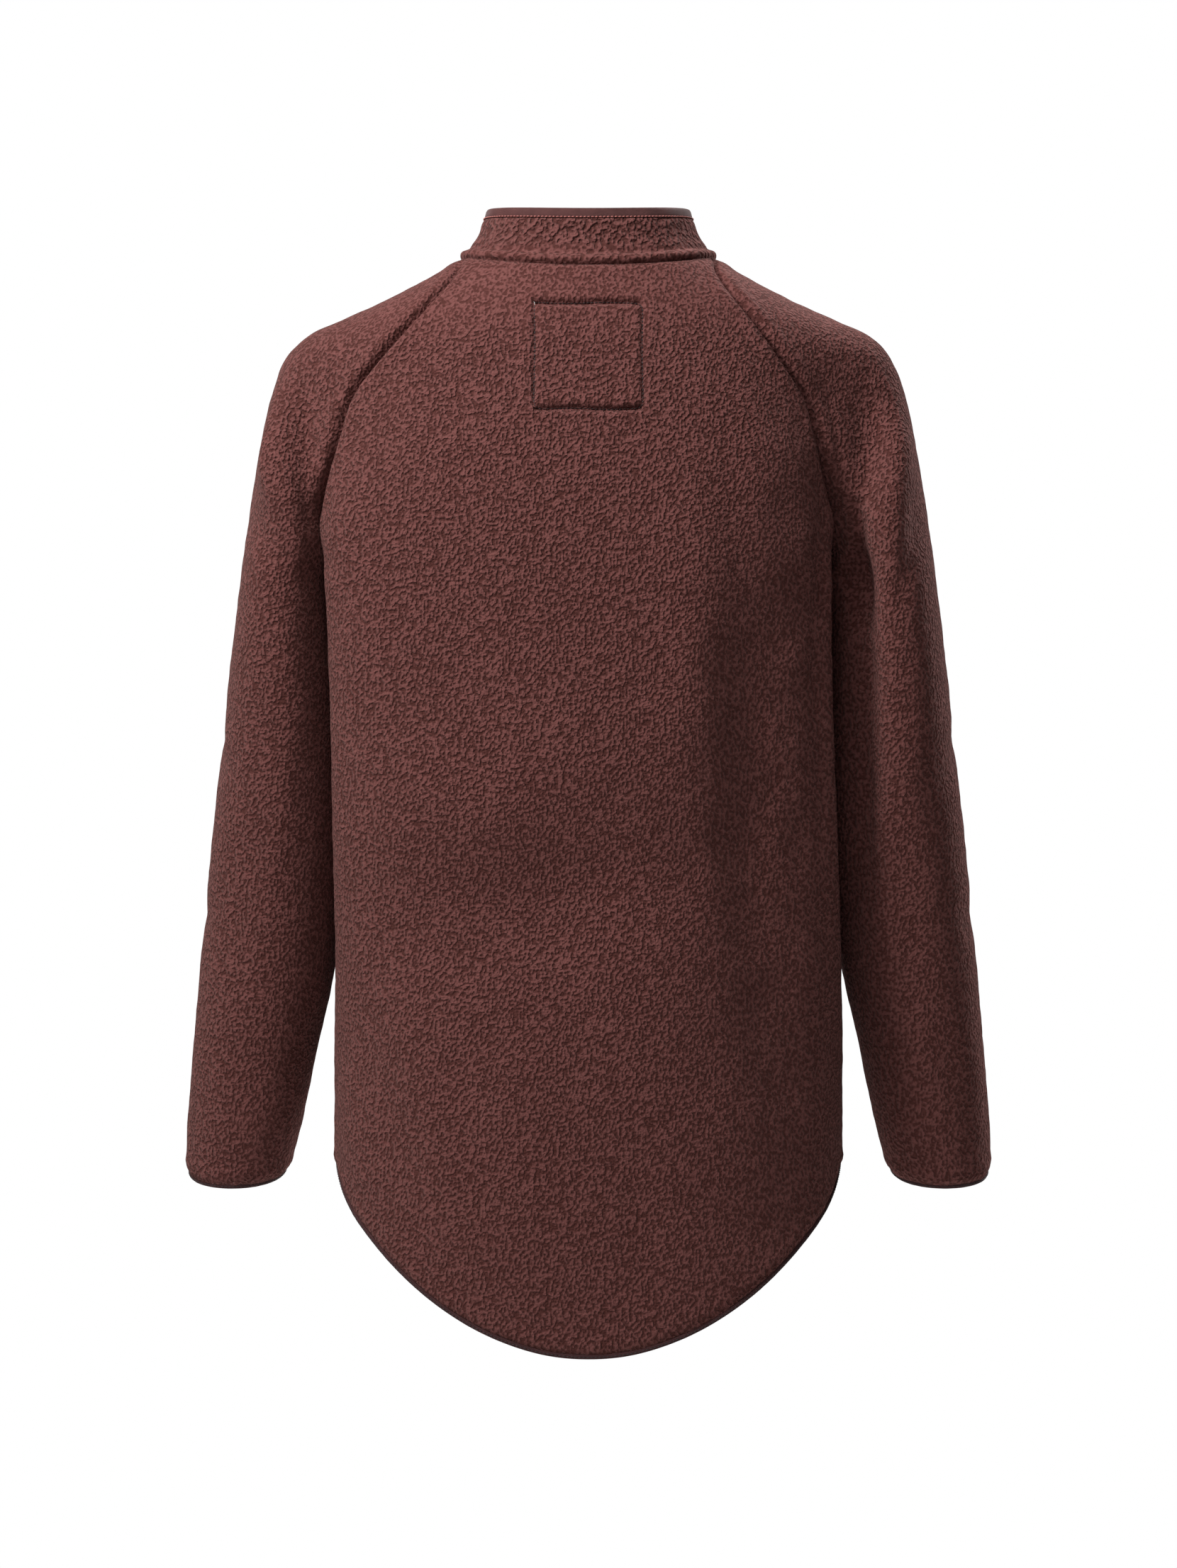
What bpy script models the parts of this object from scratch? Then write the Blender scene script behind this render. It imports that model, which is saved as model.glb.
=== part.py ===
"""A long fleece jacket in its worn form: raglan sleeves, stand collar, full-length zip, drop-tail hem.

Row frame: +Z up, -Y is the front, +X is the wearer's left. The origin is in the middle of the neck, at the
height where the wearer's shoulders carry the jacket. Sizes are in millimetres, and MM turns them into metres
when a mesh is made.
"""

import math

import bmesh
import bpy
import numpy as np
from mathutils import Matrix

MM = 0.001

# Cloth
WALL = 3.0                # pile fleece
BINDING_WALL = 4.4        # elastic binding folded round the fleece edge, measured across
SEAM_GAP = 0.3            # between two pieces at a seam
NECK_GAP = 0.6            # between the collar and the panels, whose edge points don't pair up

# Grid counts
ROWS_BELOW = 18           # from the hem up to the underarm
ROWS_ABOVE = 12           # from the underarm up to the neck, along the raglan seams
BACK_HALF_COLUMNS = 12
FRONT_COLUMNS = 10
SLEEVE_COLUMNS = 20
SLEEVE_ROWS = 17          # from the armhole ring down to the cuff
CORNER_TURN = 0.5         # at the underarm, how far each wall turns from the shared direction to its own
NECK_FADE = (1.0, 0.35, 0.08)         # how much of the neck's curve each of the sleeve's first rows takes
NECK_BLEND = 0.62         # how far up a body panel starts to bend towards the neck's curve
COLLAR_COLUMNS = 44
COLLAR_ROWS = 6
COLLAR_ROW_POWER = 1.15   # crowds the collar's rows towards its base, where it curves
BINDING_SIDES = 8
BINDING_POWER = 0.55      # its section's corners: 1 is an ellipse, less is squarer
SHARP_ANGLE = 50          # degrees between faces that are shown as an edge

# The torso's level sections. reach: how far each side's edge stands out, seen from behind. press: how deep
# the arm presses into the side. back and front: the centre back's and centre front's y. square: the section's
# power, 2 is an ellipse.
TORSO_COLUMNS = ("level", "reach_left", "reach_right", "press", "back", "front", "square")
TORSO = [
    (0, 88, 88, 0, 36, -34, 2.0),
    (-13, 112, 112, 0, 50, -44, 2.0),
    (-32, 150, 146, 0, 62, -56, 2.05),
    (-51, 184, 173, 0, 69, -65, 2.1),
    (-75, 203, 186, 0, 77, -76, 2.2),
    (-110, 203, 184, 2, 87, -92, 2.35),
    (-150, 200.5, 181, 10, 96, -110, 2.5),
    (-195, 199, 180.5, 22, 102, -124, 2.6),
    (-242, 196, 180.5, 28, 106, -132, 2.6),
    (-300, 193.5, 181, 29, 107, -135, 2.6),
    (-360, 192, 182.5, 28, 106, -133, 2.6),
    (-420, 191, 185, 25, 105, -131, 2.55),
    (-480, 189.5, 187, 19, 105, -129, 2.5),
    (-545, 188.5, 188.5, 8, 106, -128, 2.4),
    (-600, 188.5, 188.5, 2, 107, -128, 2.35),
    (-690, 188.5, 188.5, 0, 107, -127, 2.3),
    (-830, 185, 185, 0, 103, -126, 2.3),
]
TORSO_MIDDLE = -12        # y where a section is widest
ARM_SPREAD = 58           # half the depth that the arm presses in
ARM_MIDDLE = [(-150, -12), (-242, -15), (-400, -29), (-550, -45), (-690, -63)]
COLUMN_POWER = 1.35       # crowds a body panel's columns towards its side, where it curves

# Hem: height by distance from the centre line behind, and by turn (1 side seam, 2 centre front) in front.
HEM_BACK = [
    (0, -812), (30, -810), (55, -803), (80, -793), (98, -783), (113, -773), (126, -763), (138, -752.5),
    (148, -742), (157, -732), (166, -721.5), (174.5, -711), (180.5, -701), (185, -691), (188.5, -679),
]
HEM_FRONT = [(1, -679), (1.12, -690), (1.3, -708), (1.55, -728), (1.8, -738), (2, -741)]
HEM_SIDE = -679

# The neck seam and the collar's rings above it. share: height up the collar, 1 at its binding's lower edge.
NECK_MIDDLE = -12
COLLAR_RING_COLUMNS = ("share", "half", "back", "front", "square")
COLLAR = [
    (0.0, 96.0, 54.0, -74.0, 2.1),
    (0.16, 94.2, 53.5, -74.5, 2.1),
    (0.30, 88.6, 49.5, -75.5, 2.1),
    (0.50, 83.8, 46.5, -76.5, 2.1),
    (0.75, 80.4, 44.0, -77.0, 2.1),
    (1.0, 78.4, 42.5, -77.5, 2.1),
]
COLLAR_LOW = {"back": -15.0, "side": -4.5, "front": -76.0}
COLLAR_HIGH = {"back": 20.5, "side": 25.0, "front": -22.0}
COLLAR_BINDING = 8.0

# Raglan seams from the neck to the underarm. turn is 0 at the centre back, 1 at the side seam, 2 at the
# centre front. The back one is given by its distance from the centre line as far as it shows from behind.
TURN_LENGTH = 300.0       # about how long one turn's cloth is
RAGLAN_BACK_ANGLE = 75.0
RAGLAN_FRONT_ANGLE = 126.0
RAGLAN_SEEN_COLUMNS = ("x_left", "x_right", "level")
RAGLAN_SEEN = [
    (109, 104, -33), (133.5, 126, -60), (161, 147, -90), (185, 167, -118), (195, 175.5, -135),
]
RAGLAN_COLUMNS = ("turn", "level")
RAGLAN_BACK = [(0.80, -178), (0.835, -203), (0.88, -224), (0.935, -237), (1.0, -242)]
RAGLAN_FRONT = [
    (1.46, -48), (1.40, -85), (1.345, -125), (1.29, -163), (1.235, -195), (1.175, -220), (1.095, -236),
    (1.0, -242),
]

# Shoulder line, the sleeve's outer outline from the neck to the armhole ring.
SHOULDER_LINE_COLUMNS = ("x", "y", "z")
SHOULDER_LINE = [
    (96, -12, -4.5), (111, -13, -12.7), (133.6, -13, -25.4), (158.2, -13, -38.2), (186.6, -13, -50.9),
    (206.7, -13, -57.6), (221, -13, -66.5), (230, -13, -82), (240, -14, -118.7), (251.8, -15, -182.3),
    (258.7, -15, -232),
]

# Sleeve rings below the armhole. off: how far the inner side stands off the torso. lean: degrees by which a
# ring's rear side drops, as the forearm hangs forward.
SLEEVE_RING_COLUMNS = ("outer_x", "outer_z", "off", "inner_z", "middle_y", "half_depth", "lean")
SLEEVE_RINGS = [
    (258.7, -232, 0, -242, -15, 66, 0),
    (264.8, -277, 4.5, -288, -18, 66, 2),
    (272.4, -340.6, 6.5, -352, -23.5, 62, 4),
    (279.9, -405, 7, -415, -29.5, 57, 6),
    (287.1, -469.3, 7.5, -477.5, -37, 54, 8),
    (292.7, -523, 9.5, -530, -43.5, 51.5, 10),
    (298.7, -587.7, 23, -592, -51, 48, 12),
    (304.5, -652.9, 39.5, -654, -58.8, 44.5, 14),
    (307.0, -681, 48, -680.5, -62.4, 43, 14),
    (305.2, -688, 52, -687.5, -63.3, 41, 14),
]
SPLAY = 0.3               # how far the sleeve leans off the body as it leaves the armhole's lowest point
SPLAY_FADE = 160.0        # the length of sleeve over which that lean fades
NECK_SPLAY = 0.5          # how much more it leans off the body at the neck
CAP_SWELL = 22.0          # how much deeper the cap is at the neck than at the armhole's lowest point
CAP_WRAP = [(0, 0), (0.42, 0.05), (0.62, 0.45), (0.8, 0.85), (1, 1)]  # turns from the body's cloth to a tube
CAP_ROUND = 0.35          # how far down the cap its sections start to round off
CAP_DROP = 0.18           # how steeply the cap falls away from the shoulder line at the neck
ARC_PULL = 4 / 3          # a half arc's handles, as a share of the depth that it reaches
FLAT_PULL = 0.36          # a flat arc's handles, as a share of its chord
CUFF_BINDING = 6.0
CUFF_BINDING_STEP = 1.2   # the elastic draws the cuff in by this much
HEM_BINDING = 4.0

# Zip
ZIP_OPENING = 14.0        # between the two front edges
CHAIN_WIDTH = 5.0
CHAIN_FRONT = 1.2         # how far the teeth lie behind the fleece's face
TAPE_FRONT = WALL + 0.5   # how far the tapes lie behind the fleece's face
TAPE_WALL = 1.0
TAPE_REACH = 17.0         # from the centre line to a tape's outer edge, behind its front
CHAIN_SHORT = 9.0         # from the top of the fleece at centre front down to the top of the teeth
BOX_SIZE = (8.4, 3.6, 9.0)            # the retainer box at the bottom of the teeth
SLIDER_SIZE = (10.0, 1.4, 13.0)       # each of the slider's two plates
SLIDER_POST = (2.6, 3.0)              # its post between the plates, across and along
BRIDGE = (2.4, 1.2, 3.4)              # the bridge over the front plate: across, thickness, height inside
BRIDGE_REACH = (-4.6, 3.0)            # its two feet, along the zip from the pull's hinge
PULL_SIZE = (7.0, 1.8, 30.0)
PULL_WINDOW = (3.6, 7.0)
PULL_BAR = 0.9                        # half of the thickness of the bar that the pull hangs by
PULL_HINGE = 1.8                      # from the front plate out to the pull's axis
HINGE_UP = 0.6                        # from the slider's middle up to the pull's axis
PULL_CORNER = 2.6
WINDOW_CORNER = 0.8
BOX_BEVEL = 0.6
LEVEL_SPAN = 3.0                      # how far up and down the zip its direction is taken from
OVERLAP = 0.01                        # joined blocks reach this far into each other

# The largest folds, each along a line from start to end, moved by depth along push. width: its half width.
FOLD_COLUMNS = ("start", "end", "push", "depth", "width")
FOLDS = [
    ((-104, 100, -190), (-112, 100, -640), (0, -1, 0), 7.0, 42),
    ((112, 100, -150), (96, 100, -420), (0, -1, 0), 3.0, 36),
    ((-40, 104, -330), (-30, 104, -700), (0, 1, 0), 3.0, 46),
    ((150, 100, -520), (128, 100, -760), (0, 1, 0), 4.0, 34),
    ((-170, 78, -560), (-140, 90, -760), (0, -1, 0), 4.0, 26),
    ((214, 46, -80), (211, 46, -200), (0, -1, 0), 4.0, 20),
    ((-212, 44, -70), (-208, 46, -210), (0, -1, 0), 6.0, 22),
    ((-244, 30, -130), (-230, 44, -290), (0, 1, 0), 4.0, 18),
    ((240, 26, -110), (244, 34, -240), (0, 1, 0), 3.0, 18),
]

# Looks: slot name, colour, roughness, metallic
FLEECE_LOOK = ("fleece", (0.098, 0.042, 0.036), 0.95, 0.0)
BINDING_LOOK = ("binding", (0.075, 0.030, 0.029), 0.75, 0.0)
TAPE_LOOK = ("zip_tape", (0.050, 0.024, 0.022), 0.8, 0.0)
TEETH_LOOK = ("zip_teeth", (0.050, 0.024, 0.022), 0.45, 0.0)
METAL_LOOK = ("zip_metal", (0.060, 0.035, 0.032), 0.4, 0.6)


def column(table, names, name):
    """One named column of a table."""
    return np.array([row[names.index(name)] for row in table], float)


def smooth(at, places, values):
    """A smooth curve through a table's values: cubic pieces that don't overshoot."""
    places, values = np.asarray(places, float), np.asarray(values, float)
    if places[0] > places[-1]:
        places, values = places[::-1], values[::-1]
    step = np.diff(places)
    slope = np.diff(values) / step
    bend = np.zeros(len(values))
    same = slope[1:] * slope[:-1] > 0
    weight_a, weight_b = 2 * step[1:] + step[:-1], step[1:] + 2 * step[:-1]
    flat = np.where(same, slope[:-1], 1.0)
    steep = np.where(same, slope[1:], 1.0)
    bend[1:-1] = np.where(same, (weight_a + weight_b) / (weight_a / flat + weight_b / steep), 0.0)
    bend[0], bend[-1] = slope[0], slope[-1]
    at = np.clip(np.asarray(at, float), places[0], places[-1])
    i = np.clip(np.searchsorted(places, at) - 1, 0, len(step) - 1)
    t = (at - places[i]) / step[i]
    t2, t3 = t * t, t * t * t
    return (
        (2 * t3 - 3 * t2 + 1) * values[i]
        + (t3 - 2 * t2 + t) * step[i] * bend[i]
        + (3 * t2 - 2 * t3) * values[i + 1]
        + (t3 - t2) * step[i] * bend[i + 1]
    )


def unit(v):
    return v / np.maximum(np.linalg.norm(v, axis=-1, keepdims=True), 1e-12)


def along(points):
    """The length along a polyline at each of its points."""
    return np.concatenate([[0], np.cumsum(np.linalg.norm(np.diff(points, axis=0), axis=1))])


def evenly(points, count):
    """count + 1 points spread evenly along a polyline."""
    length = along(points)
    at = np.linspace(0, length[-1], count + 1)
    return np.stack([np.interp(at, length, points[:, k]) for k in range(points.shape[1])], axis=1)


def spline(points, steps=12):
    """A smooth curve through a short list of points."""
    points = np.array(points, float)
    place = along(points)
    fine = np.concatenate([np.linspace(a, b, steps, endpoint=False) for a, b in zip(place[:-1], place[1:])])
    fine = np.append(fine, place[-1])
    tangent = np.gradient(points, place, axis=0)
    i = np.clip(np.searchsorted(place, fine, side="right") - 1, 0, len(place) - 2)
    h = (place[i + 1] - place[i])[:, None]
    t = (fine - place[i])[:, None] / h
    return (
        (2 * t**3 - 3 * t**2 + 1) * points[i]
        + (t**3 - 2 * t**2 + t) * h * tangent[i]
        + (3 * t**2 - 2 * t**3) * points[i + 1]
        + (t**3 - t**2) * h * tangent[i + 1]
    )


# The torso form

LOOKUP_STEP = 4.0
LOOKUP_LEVELS = np.arange(-852.0, 0.1, LOOKUP_STEP)
QUARTER_POINTS = 49       # around the form, from the centre back to the side seam
FINE = 60                 # steps in a curve that is then spaced out evenly


def torso_section(level, side):
    """The level section from centre back (turn 0) by the side seam (1) to centre front (2), evenly spread."""
    value = {n: float(smooth(level, column(TORSO, TORSO_COLUMNS, "level"), column(TORSO, TORSO_COLUMNS, n)))
             for n in TORSO_COLUMNS[1:]}
    reach = value["reach_" + side]
    arm = float(smooth(level, [a for a, _ in ARM_MIDDLE], [b for _, b in ARM_MIDDLE]))
    angle = np.radians(np.linspace(0, 180, 361))
    c = np.cos(angle)
    depth = np.where(c > 0, value["back"] - TORSO_MIDDLE, TORSO_MIDDLE - value["front"])
    y = TORSO_MIDDLE + depth * np.sign(c) * np.abs(c) ** (2 / value["square"])
    x = np.sin(angle) ** (2 / value["square"])
    x = x - value["press"] / reach * np.exp(-np.abs((y - arm) / ARM_SPREAD) ** 3)
    line = np.stack([x * reach / x.max(), y], axis=1)
    quarters = [evenly(line[:181], QUARTER_POINTS - 1), evenly(line[180:], QUARTER_POINTS - 1)]
    return np.concatenate([quarters[0], quarters[1][1:]])


TORSO_LOOKUP = {
    side: np.array([torso_section(level, side) for level in LOOKUP_LEVELS]) for side in ("left", "right")
}


def torso(turn, level, side):
    """Points of the torso form, x always positive; turn and level are arrays of one shape."""
    table = TORSO_LOOKUP[side]
    a = np.clip((np.asarray(level, float) - LOOKUP_LEVELS[0]) / LOOKUP_STEP, 0, len(LOOKUP_LEVELS) - 1.001)
    b = np.clip(np.asarray(turn, float) * (QUARTER_POINTS - 1), 0, table.shape[1] - 1.001)
    i, j = a.astype(int), b.astype(int)
    s, t = (a - i)[..., None], (b - j)[..., None]
    flat = (
        (1 - s) * (1 - t) * table[i, j]
        + (1 - s) * t * table[i, j + 1]
        + s * (1 - t) * table[i + 1, j]
        + s * t * table[i + 1, j + 1]
    )
    height = np.broadcast_to(np.asarray(level, float), flat.shape[:-1])
    return np.concatenate([flat, height[..., None]], axis=-1)


def turn_at(x, level, side):
    """The turn on the back at which the torso form is x from the centre line."""
    ring = torso(np.linspace(0, 0.75, 300), np.full(300, float(level)), side)
    return float(np.interp(x, ring[:, 0], np.linspace(0, 0.75, 300)))


def arm_side(level, side):
    """How far the torso form's side stands out where the arm lies on it."""
    ring = torso(np.linspace(0.8, 1.4, 200), np.full(200, float(level)), side)
    arm = float(smooth(level, [a for a, _ in ARM_MIDDLE], [b for _, b in ARM_MIDDLE]))
    return float(ring[np.argmin(np.abs(ring[:, 1] - arm)), 0])


def ring_point(angle, half, back, front, square, heights):
    """A point of a collar ring at an angle in degrees: 0 centre back, 90 the side, 180 centre front."""
    turn = np.radians(np.asarray(angle, float))
    c, s = np.cos(turn), np.sin(turn)
    reach = np.where(c > 0, back - NECK_MIDDLE, NECK_MIDDLE - front)
    end = np.where(c > 0, heights["back"], heights["front"])
    return np.stack([
        np.sign(s) * half * np.abs(s) ** (2 / square),
        NECK_MIDDLE + np.sign(c) * reach * np.abs(c) ** (2 / square),
        heights["side"] + (end - heights["side"]) * c * c,
    ], axis=-1)


def collar_point(angle, share):
    """A point of the collar's outer face."""
    share = np.asarray(share, float)
    place = column(COLLAR, COLLAR_RING_COLUMNS, "share")
    size = [smooth(share, place, column(COLLAR, COLLAR_RING_COLUMNS, n)) for n in COLLAR_RING_COLUMNS[1:]]
    heights = {k: COLLAR_LOW[k] + share * (COLLAR_HIGH[k] - COLLAR_LOW[k]) for k in COLLAR_LOW}
    return ring_point(angle, *size, heights)


def neck(angle):
    """The neck seam."""
    return collar_point(angle, 0.0)


def folded(points):
    """The points moved by the largest folds. The move depends on the place alone, so seams stay closed."""
    moved = points.copy()
    for row in FOLDS:
        fold = dict(zip(FOLD_COLUMNS, row))
        start, end, push = (np.array(fold[n], float) for n in ("start", "end", "push"))
        line = end - start
        share = ((points - start) @ line) / (line @ line)
        near = start + np.clip(share, 0, 1)[..., None] * line
        off = np.linalg.norm(points - near, axis=-1)
        fade = np.sin(np.pi * np.clip(share, 0, 1)) ** 0.8
        moved += (fold["depth"] * fade * np.exp(-((off / fold["width"]) ** 2)))[..., None] * push
    return moved


# Panels

def raglan_seam(plan, angle, side):
    """A raglan seam's points from the neck to the underarm; plan is its list of turns and levels."""
    start = neck(angle)
    plan = spline(np.array(plan) * np.array([TURN_LENGTH, 1.0]))
    points = torso(plan[:, 0] / TURN_LENGTH, plan[:, 1], side)
    head = np.linspace(0, 1, 10)[:-1, None]
    gap = points[0] - start
    tangent = unit(points[1] - points[0]) * np.linalg.norm(gap)
    lead = (
        (2 * head**3 - 3 * head**2 + 1) * start + (head**3 - 2 * head**2 + head) * gap
        + (3 * head**2 - 2 * head**3) * points[0] + (head**3 - head**2) * tangent
    )
    return evenly(np.concatenate([lead, points]), ROWS_ABOVE)


def nearest_turn(points, side, low, high):
    """The turn of the torso form that lies nearest each point, at that point's level."""
    turns = np.linspace(low, high, 400)
    found = []
    for p in points:
        ring = torso(turns, np.full(400, p[2]), side)
        found.append(turns[np.argmin(np.linalg.norm(ring - p, axis=1))])
    return np.array(found)


def hem_level(turn, side):
    """The hem's height at a turn."""
    turn = np.asarray(turn, float)
    reach = torso(np.minimum(turn, 1), np.full(turn.shape, -740.0), side)[..., 0]
    back = smooth(reach, [a for a, _ in HEM_BACK], [b for _, b in HEM_BACK])
    back = back + (HEM_SIDE - back) * np.clip((turn - 0.8) / 0.2, 0, 1) ** 2
    front = smooth(turn, [a for a, _ in HEM_FRONT], [b for _, b in HEM_FRONT])
    return np.where(turn <= 1, back, front)


def spread(columns):
    """Where a body panel's columns lie, from 0 at its side to 1 at its centre line."""
    return np.linspace(0, 1, columns + 1) ** COLUMN_POWER


def body_panel(seam, side, end_turn, columns, neck_span, edge_inset):
    """A panel from its side seam and raglan seam to its centre line, as rows from the hem up.

    seam: the raglan seam's points from the neck down. end_turn: 0 for the back, 2 for a front. neck_span: the
    neck's angles at the panel's two edges. edge_inset: how far the panel stops short of the centre line.
    """
    rows = ROWS_BELOW + ROWS_ABOVE
    below = np.arange(ROWS_BELOW) / ROWS_BELOW
    turns_above = nearest_turn(seam[::-1], side, min(end_turn, 1), max(end_turn, 1))
    turns_above[0] = 1.0
    edge_turn = np.concatenate([np.ones(ROWS_BELOW), turns_above])
    edge_level = np.concatenate([HEM_SIDE + below * (seam[-1][2] - HEM_SIDE), seam[::-1, 2]])
    share = spread(columns)
    top = neck(neck_span[0] + share * (neck_span[1] - neck_span[0]))
    across = np.linspace(min(end_turn, 1), max(end_turn, 1), FINE)
    quarter = [along(torso(across, np.full(FINE, z), side))[-1] for z in edge_level]
    stop = end_turn - np.sign(end_turn - 1) * edge_inset / np.array(quarter)
    grid = np.zeros((rows + 1, columns + 1, 3))
    up = np.arange(rows + 1) / rows
    for i in range(rows + 1):
        turn = edge_turn[i] + share * (stop[i] - edge_turn[i])
        bottom_turn = 1 + share * (stop[0] - 1)
        bottom = hem_level(bottom_turn, side)
        straight = bottom + up[i] * (top[:, 2] - bottom)
        bow = straight - (straight[0] + (straight[-1] - straight[0]) * share)
        middle = straight[-1]
        level = edge_level[i] + (middle - edge_level[i]) * share + bow
        grid[i] = torso(turn, level, side)
    for i in range(rows + 1):
        fade = np.clip((up[i] - NECK_BLEND) / (1 - NECK_BLEND), 0, 1) ** 2
        grid[i] += fade * (top - grid[-1])
    for i in range(ROWS_ABOVE + 1):
        k = rows - i
        grid[k] += (1 - share[:, None]) ** 2 * (seam[i] - grid[k, 0])
    return grid


def mirrored(grid):
    return grid * np.array([-1.0, 1.0, 1.0])


def half_arc(start, start_pull, end, end_pull):
    """A smooth arc from start to end; a pull is the arrow from a point to its handle."""
    t = np.linspace(0, 1, FINE + 1)[:, None]
    a, b = start + start_pull, end + end_pull
    return (1 - t) ** 3 * start + 3 * t * (1 - t) ** 2 * a + 3 * t**2 * (1 - t) * b + t**3 * end


def sleeve_panel(back_seam, front_seam, back_across, front_across, side):
    """The sleeve's outer face: rows from the neck to the cuff, columns from the back seam over the top.

    back_across and front_across are the directions in which the body panels' cloth runs over the seams.
    """
    top_line = evenly(spline(SHOULDER_LINE), ROWS_ABOVE)
    ring_y, ring_depth = SLEEVE_RINGS[0][4:6]
    rows = []
    rear = np.array([0.0, 1.0, 0.0])
    for k in range(ROWS_ABOVE + 1):
        t = k / ROWS_ABOVE
        wrap = smooth(t, [a for a, _ in CAP_WRAP], [b for _, b in CAP_WRAP])
        round_off = smooth(t, [CAP_ROUND, 1], [0, 1])
        top = top_line[k]
        arc = []
        for seam, across, sign in ((back_seam[k], back_across[k], 1), (front_seam[k], front_across[k], -1)):
            chord = np.linalg.norm(top - seam)
            depth = ring_y + sign * (ring_depth + CAP_SWELL * (1 - t))
            round_pull = ARC_PULL * abs(depth - (seam[1] + top[1]) / 2)
            pull = (1 - round_off) * FLAT_PULL * chord + round_off * round_pull
            outward = unit(np.array([SPLAY + NECK_SPLAY * (1 - t), 0, 0]) + sign * rear)
            leave = unit((1 - wrap) * across + wrap * outward)
            over = unit(sign * rear + np.array([0, 0, -CAP_DROP]) * (1 - t))
            arc.append(half_arc(seam, leave * pull, top, over * pull))
        half = SLEEVE_COLUMNS // 2
        first, second = evenly(arc[0], half), evenly(arc[1][::-1], half)
        rows.append(np.concatenate([first, second[1:]]))
    to_neck = neck(np.linspace(RAGLAN_BACK_ANGLE, RAGLAN_FRONT_ANGLE, SLEEVE_COLUMNS + 1)) - rows[0]
    for k, share in enumerate(NECK_FADE):
        rows[k] = rows[k] + to_neck * share
    rings = {n: column(SLEEVE_RINGS, SLEEVE_RING_COLUMNS, n) for n in SLEEVE_RING_COLUMNS}
    place = -rings["outer_z"]
    for k in range(1, SLEEVE_ROWS + 1):
        at = place[0] + (place[-1] - place[0]) * k / SLEEVE_ROWS
        r = {n: float(smooth(at, place, v)) for n, v in rings.items()}
        outer = np.array([r["outer_x"], r["middle_y"], r["outer_z"]])
        inner = np.array([arm_side(r["inner_z"], side) + r["off"], r["middle_y"], r["inner_z"]])
        lean = math.radians(r["lean"])
        depth = np.array([0, math.cos(lean), -math.sin(lean)]) * r["half_depth"] * ARC_PULL
        splay = np.array([SPLAY * r["half_depth"] * max(0, 1 - (at - place[0]) / SPLAY_FADE), 0, 0])
        half = SLEEVE_COLUMNS // 2
        first = evenly(half_arc(inner, depth + splay, outer, depth), half)
        second = evenly(half_arc(outer, -depth, inner, -depth + splay), half)
        rows.append(np.concatenate([first, second[1:]]))
    return np.array(rows)


def grid_faces(rows, columns, weld_from=None, flip=False):
    """Vertex numbers of a grid and its quads; from row weld_from on, the last column is the first one."""
    numbers = np.arange((rows + 1) * (columns + 1)).reshape(rows + 1, columns + 1)
    if weld_from is not None:
        numbers[weld_from:, -1] = numbers[weld_from:, 0]
    faces = []
    for i in range(rows):
        for j in range(columns):
            a, b, c, d = numbers[i, j], numbers[i, j + 1], numbers[i + 1, j + 1], numbers[i + 1, j]
            faces.append((d, c, b, a) if flip else (a, b, c, d))
    return numbers, faces


def grid_normals(points, faces):
    """A normal for each point, from the faces around it."""
    flat = points.reshape(-1, 3)
    normals = np.zeros_like(flat)
    for face in faces:
        a, b, c, d = (flat[i] for i in face)
        normal = np.cross(c - a, d - b)
        for i in face:
            normals[i] += normal
    return unit(normals)


class Panel:
    """A piece of cloth: the points of its outer face, its faces, and a normal at each point."""

    def __init__(self, name, grid, weld_from=None, flip=False):
        self.name = name
        self.rows, self.columns = grid.shape[0] - 1, grid.shape[1] - 1
        self.points = grid.reshape(-1, 3).copy()
        self.numbers, self.faces = grid_faces(self.rows, self.columns, weld_from, flip)
        self.normals = grid_normals(self.points, self.faces)
        self.shift = np.zeros_like(self.points)
        self.seam_normals = np.zeros_like(self.points)


def neck_normal(angle):
    """The wall's direction along the neck seam, shared by the collar and the panels under it."""
    turn = np.radians(angle)
    s, c = np.sin(turn), np.cos(turn)
    return unit(np.stack([s, c, 0.35 + 0.75 * s * s], axis=-1))


def inward(panel, edge, line):
    """The direction from an edge line of a panel into its cloth, square to the edge."""
    into = np.zeros((len(edge), 3))
    neighbours = {int(n): set() for n in edge}
    for face in panel.faces:
        for n in face:
            if int(n) in neighbours:
                neighbours[int(n)].update(int(m) for m in face)
    for k, n in enumerate(edge):
        others = [panel.points[m] for m in neighbours[int(n)] if m not in neighbours]
        if not others:
            others = [panel.points[m] for m in neighbours[int(n)]]
        into[k] = np.mean(others, axis=0) - panel.points[int(n)]
    into -= (into * line).sum(axis=1, keepdims=True) * line
    return unit(into)


def join_seam(first, first_edge, second, second_edge):
    """Notes how two panels stand back from the seam that they share, and the one wall direction along it."""
    seam = first.points[first_edge]
    line = unit(np.gradient(seam, axis=0))
    faces, ways = [], []
    for panel, edge in ((first, first_edge), (second, second_edge)):
        normal = panel.normals[edge]
        normal = unit(normal - (normal * line).sum(axis=1, keepdims=True) * line)
        way = np.cross(line, normal)
        ways.append(way * np.sign((way * inward(panel, edge, line)).sum()))
        faces.append(normal)
    normal = unit(faces[0] + faces[1] + 0.5 * (ways[0] + ways[1]))
    across = unit(np.cross(line, normal))
    across *= np.sign((across * (ways[0] - ways[1])).sum())
    for panel, edge, way in ((first, first_edge, 1), (second, second_edge, -1)):
        panel.shift[edge] += way * across * SEAM_GAP / 2
        panel.seam_normals[edge] += normal


def settle(panel):
    """Moves a panel's seam edges back and gives them their shared wall directions."""
    panel.points += panel.shift
    shared = np.linalg.norm(panel.seam_normals, axis=1) > 0
    panel.normals[shared] = unit(panel.seam_normals[shared])


# Meshes

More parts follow.
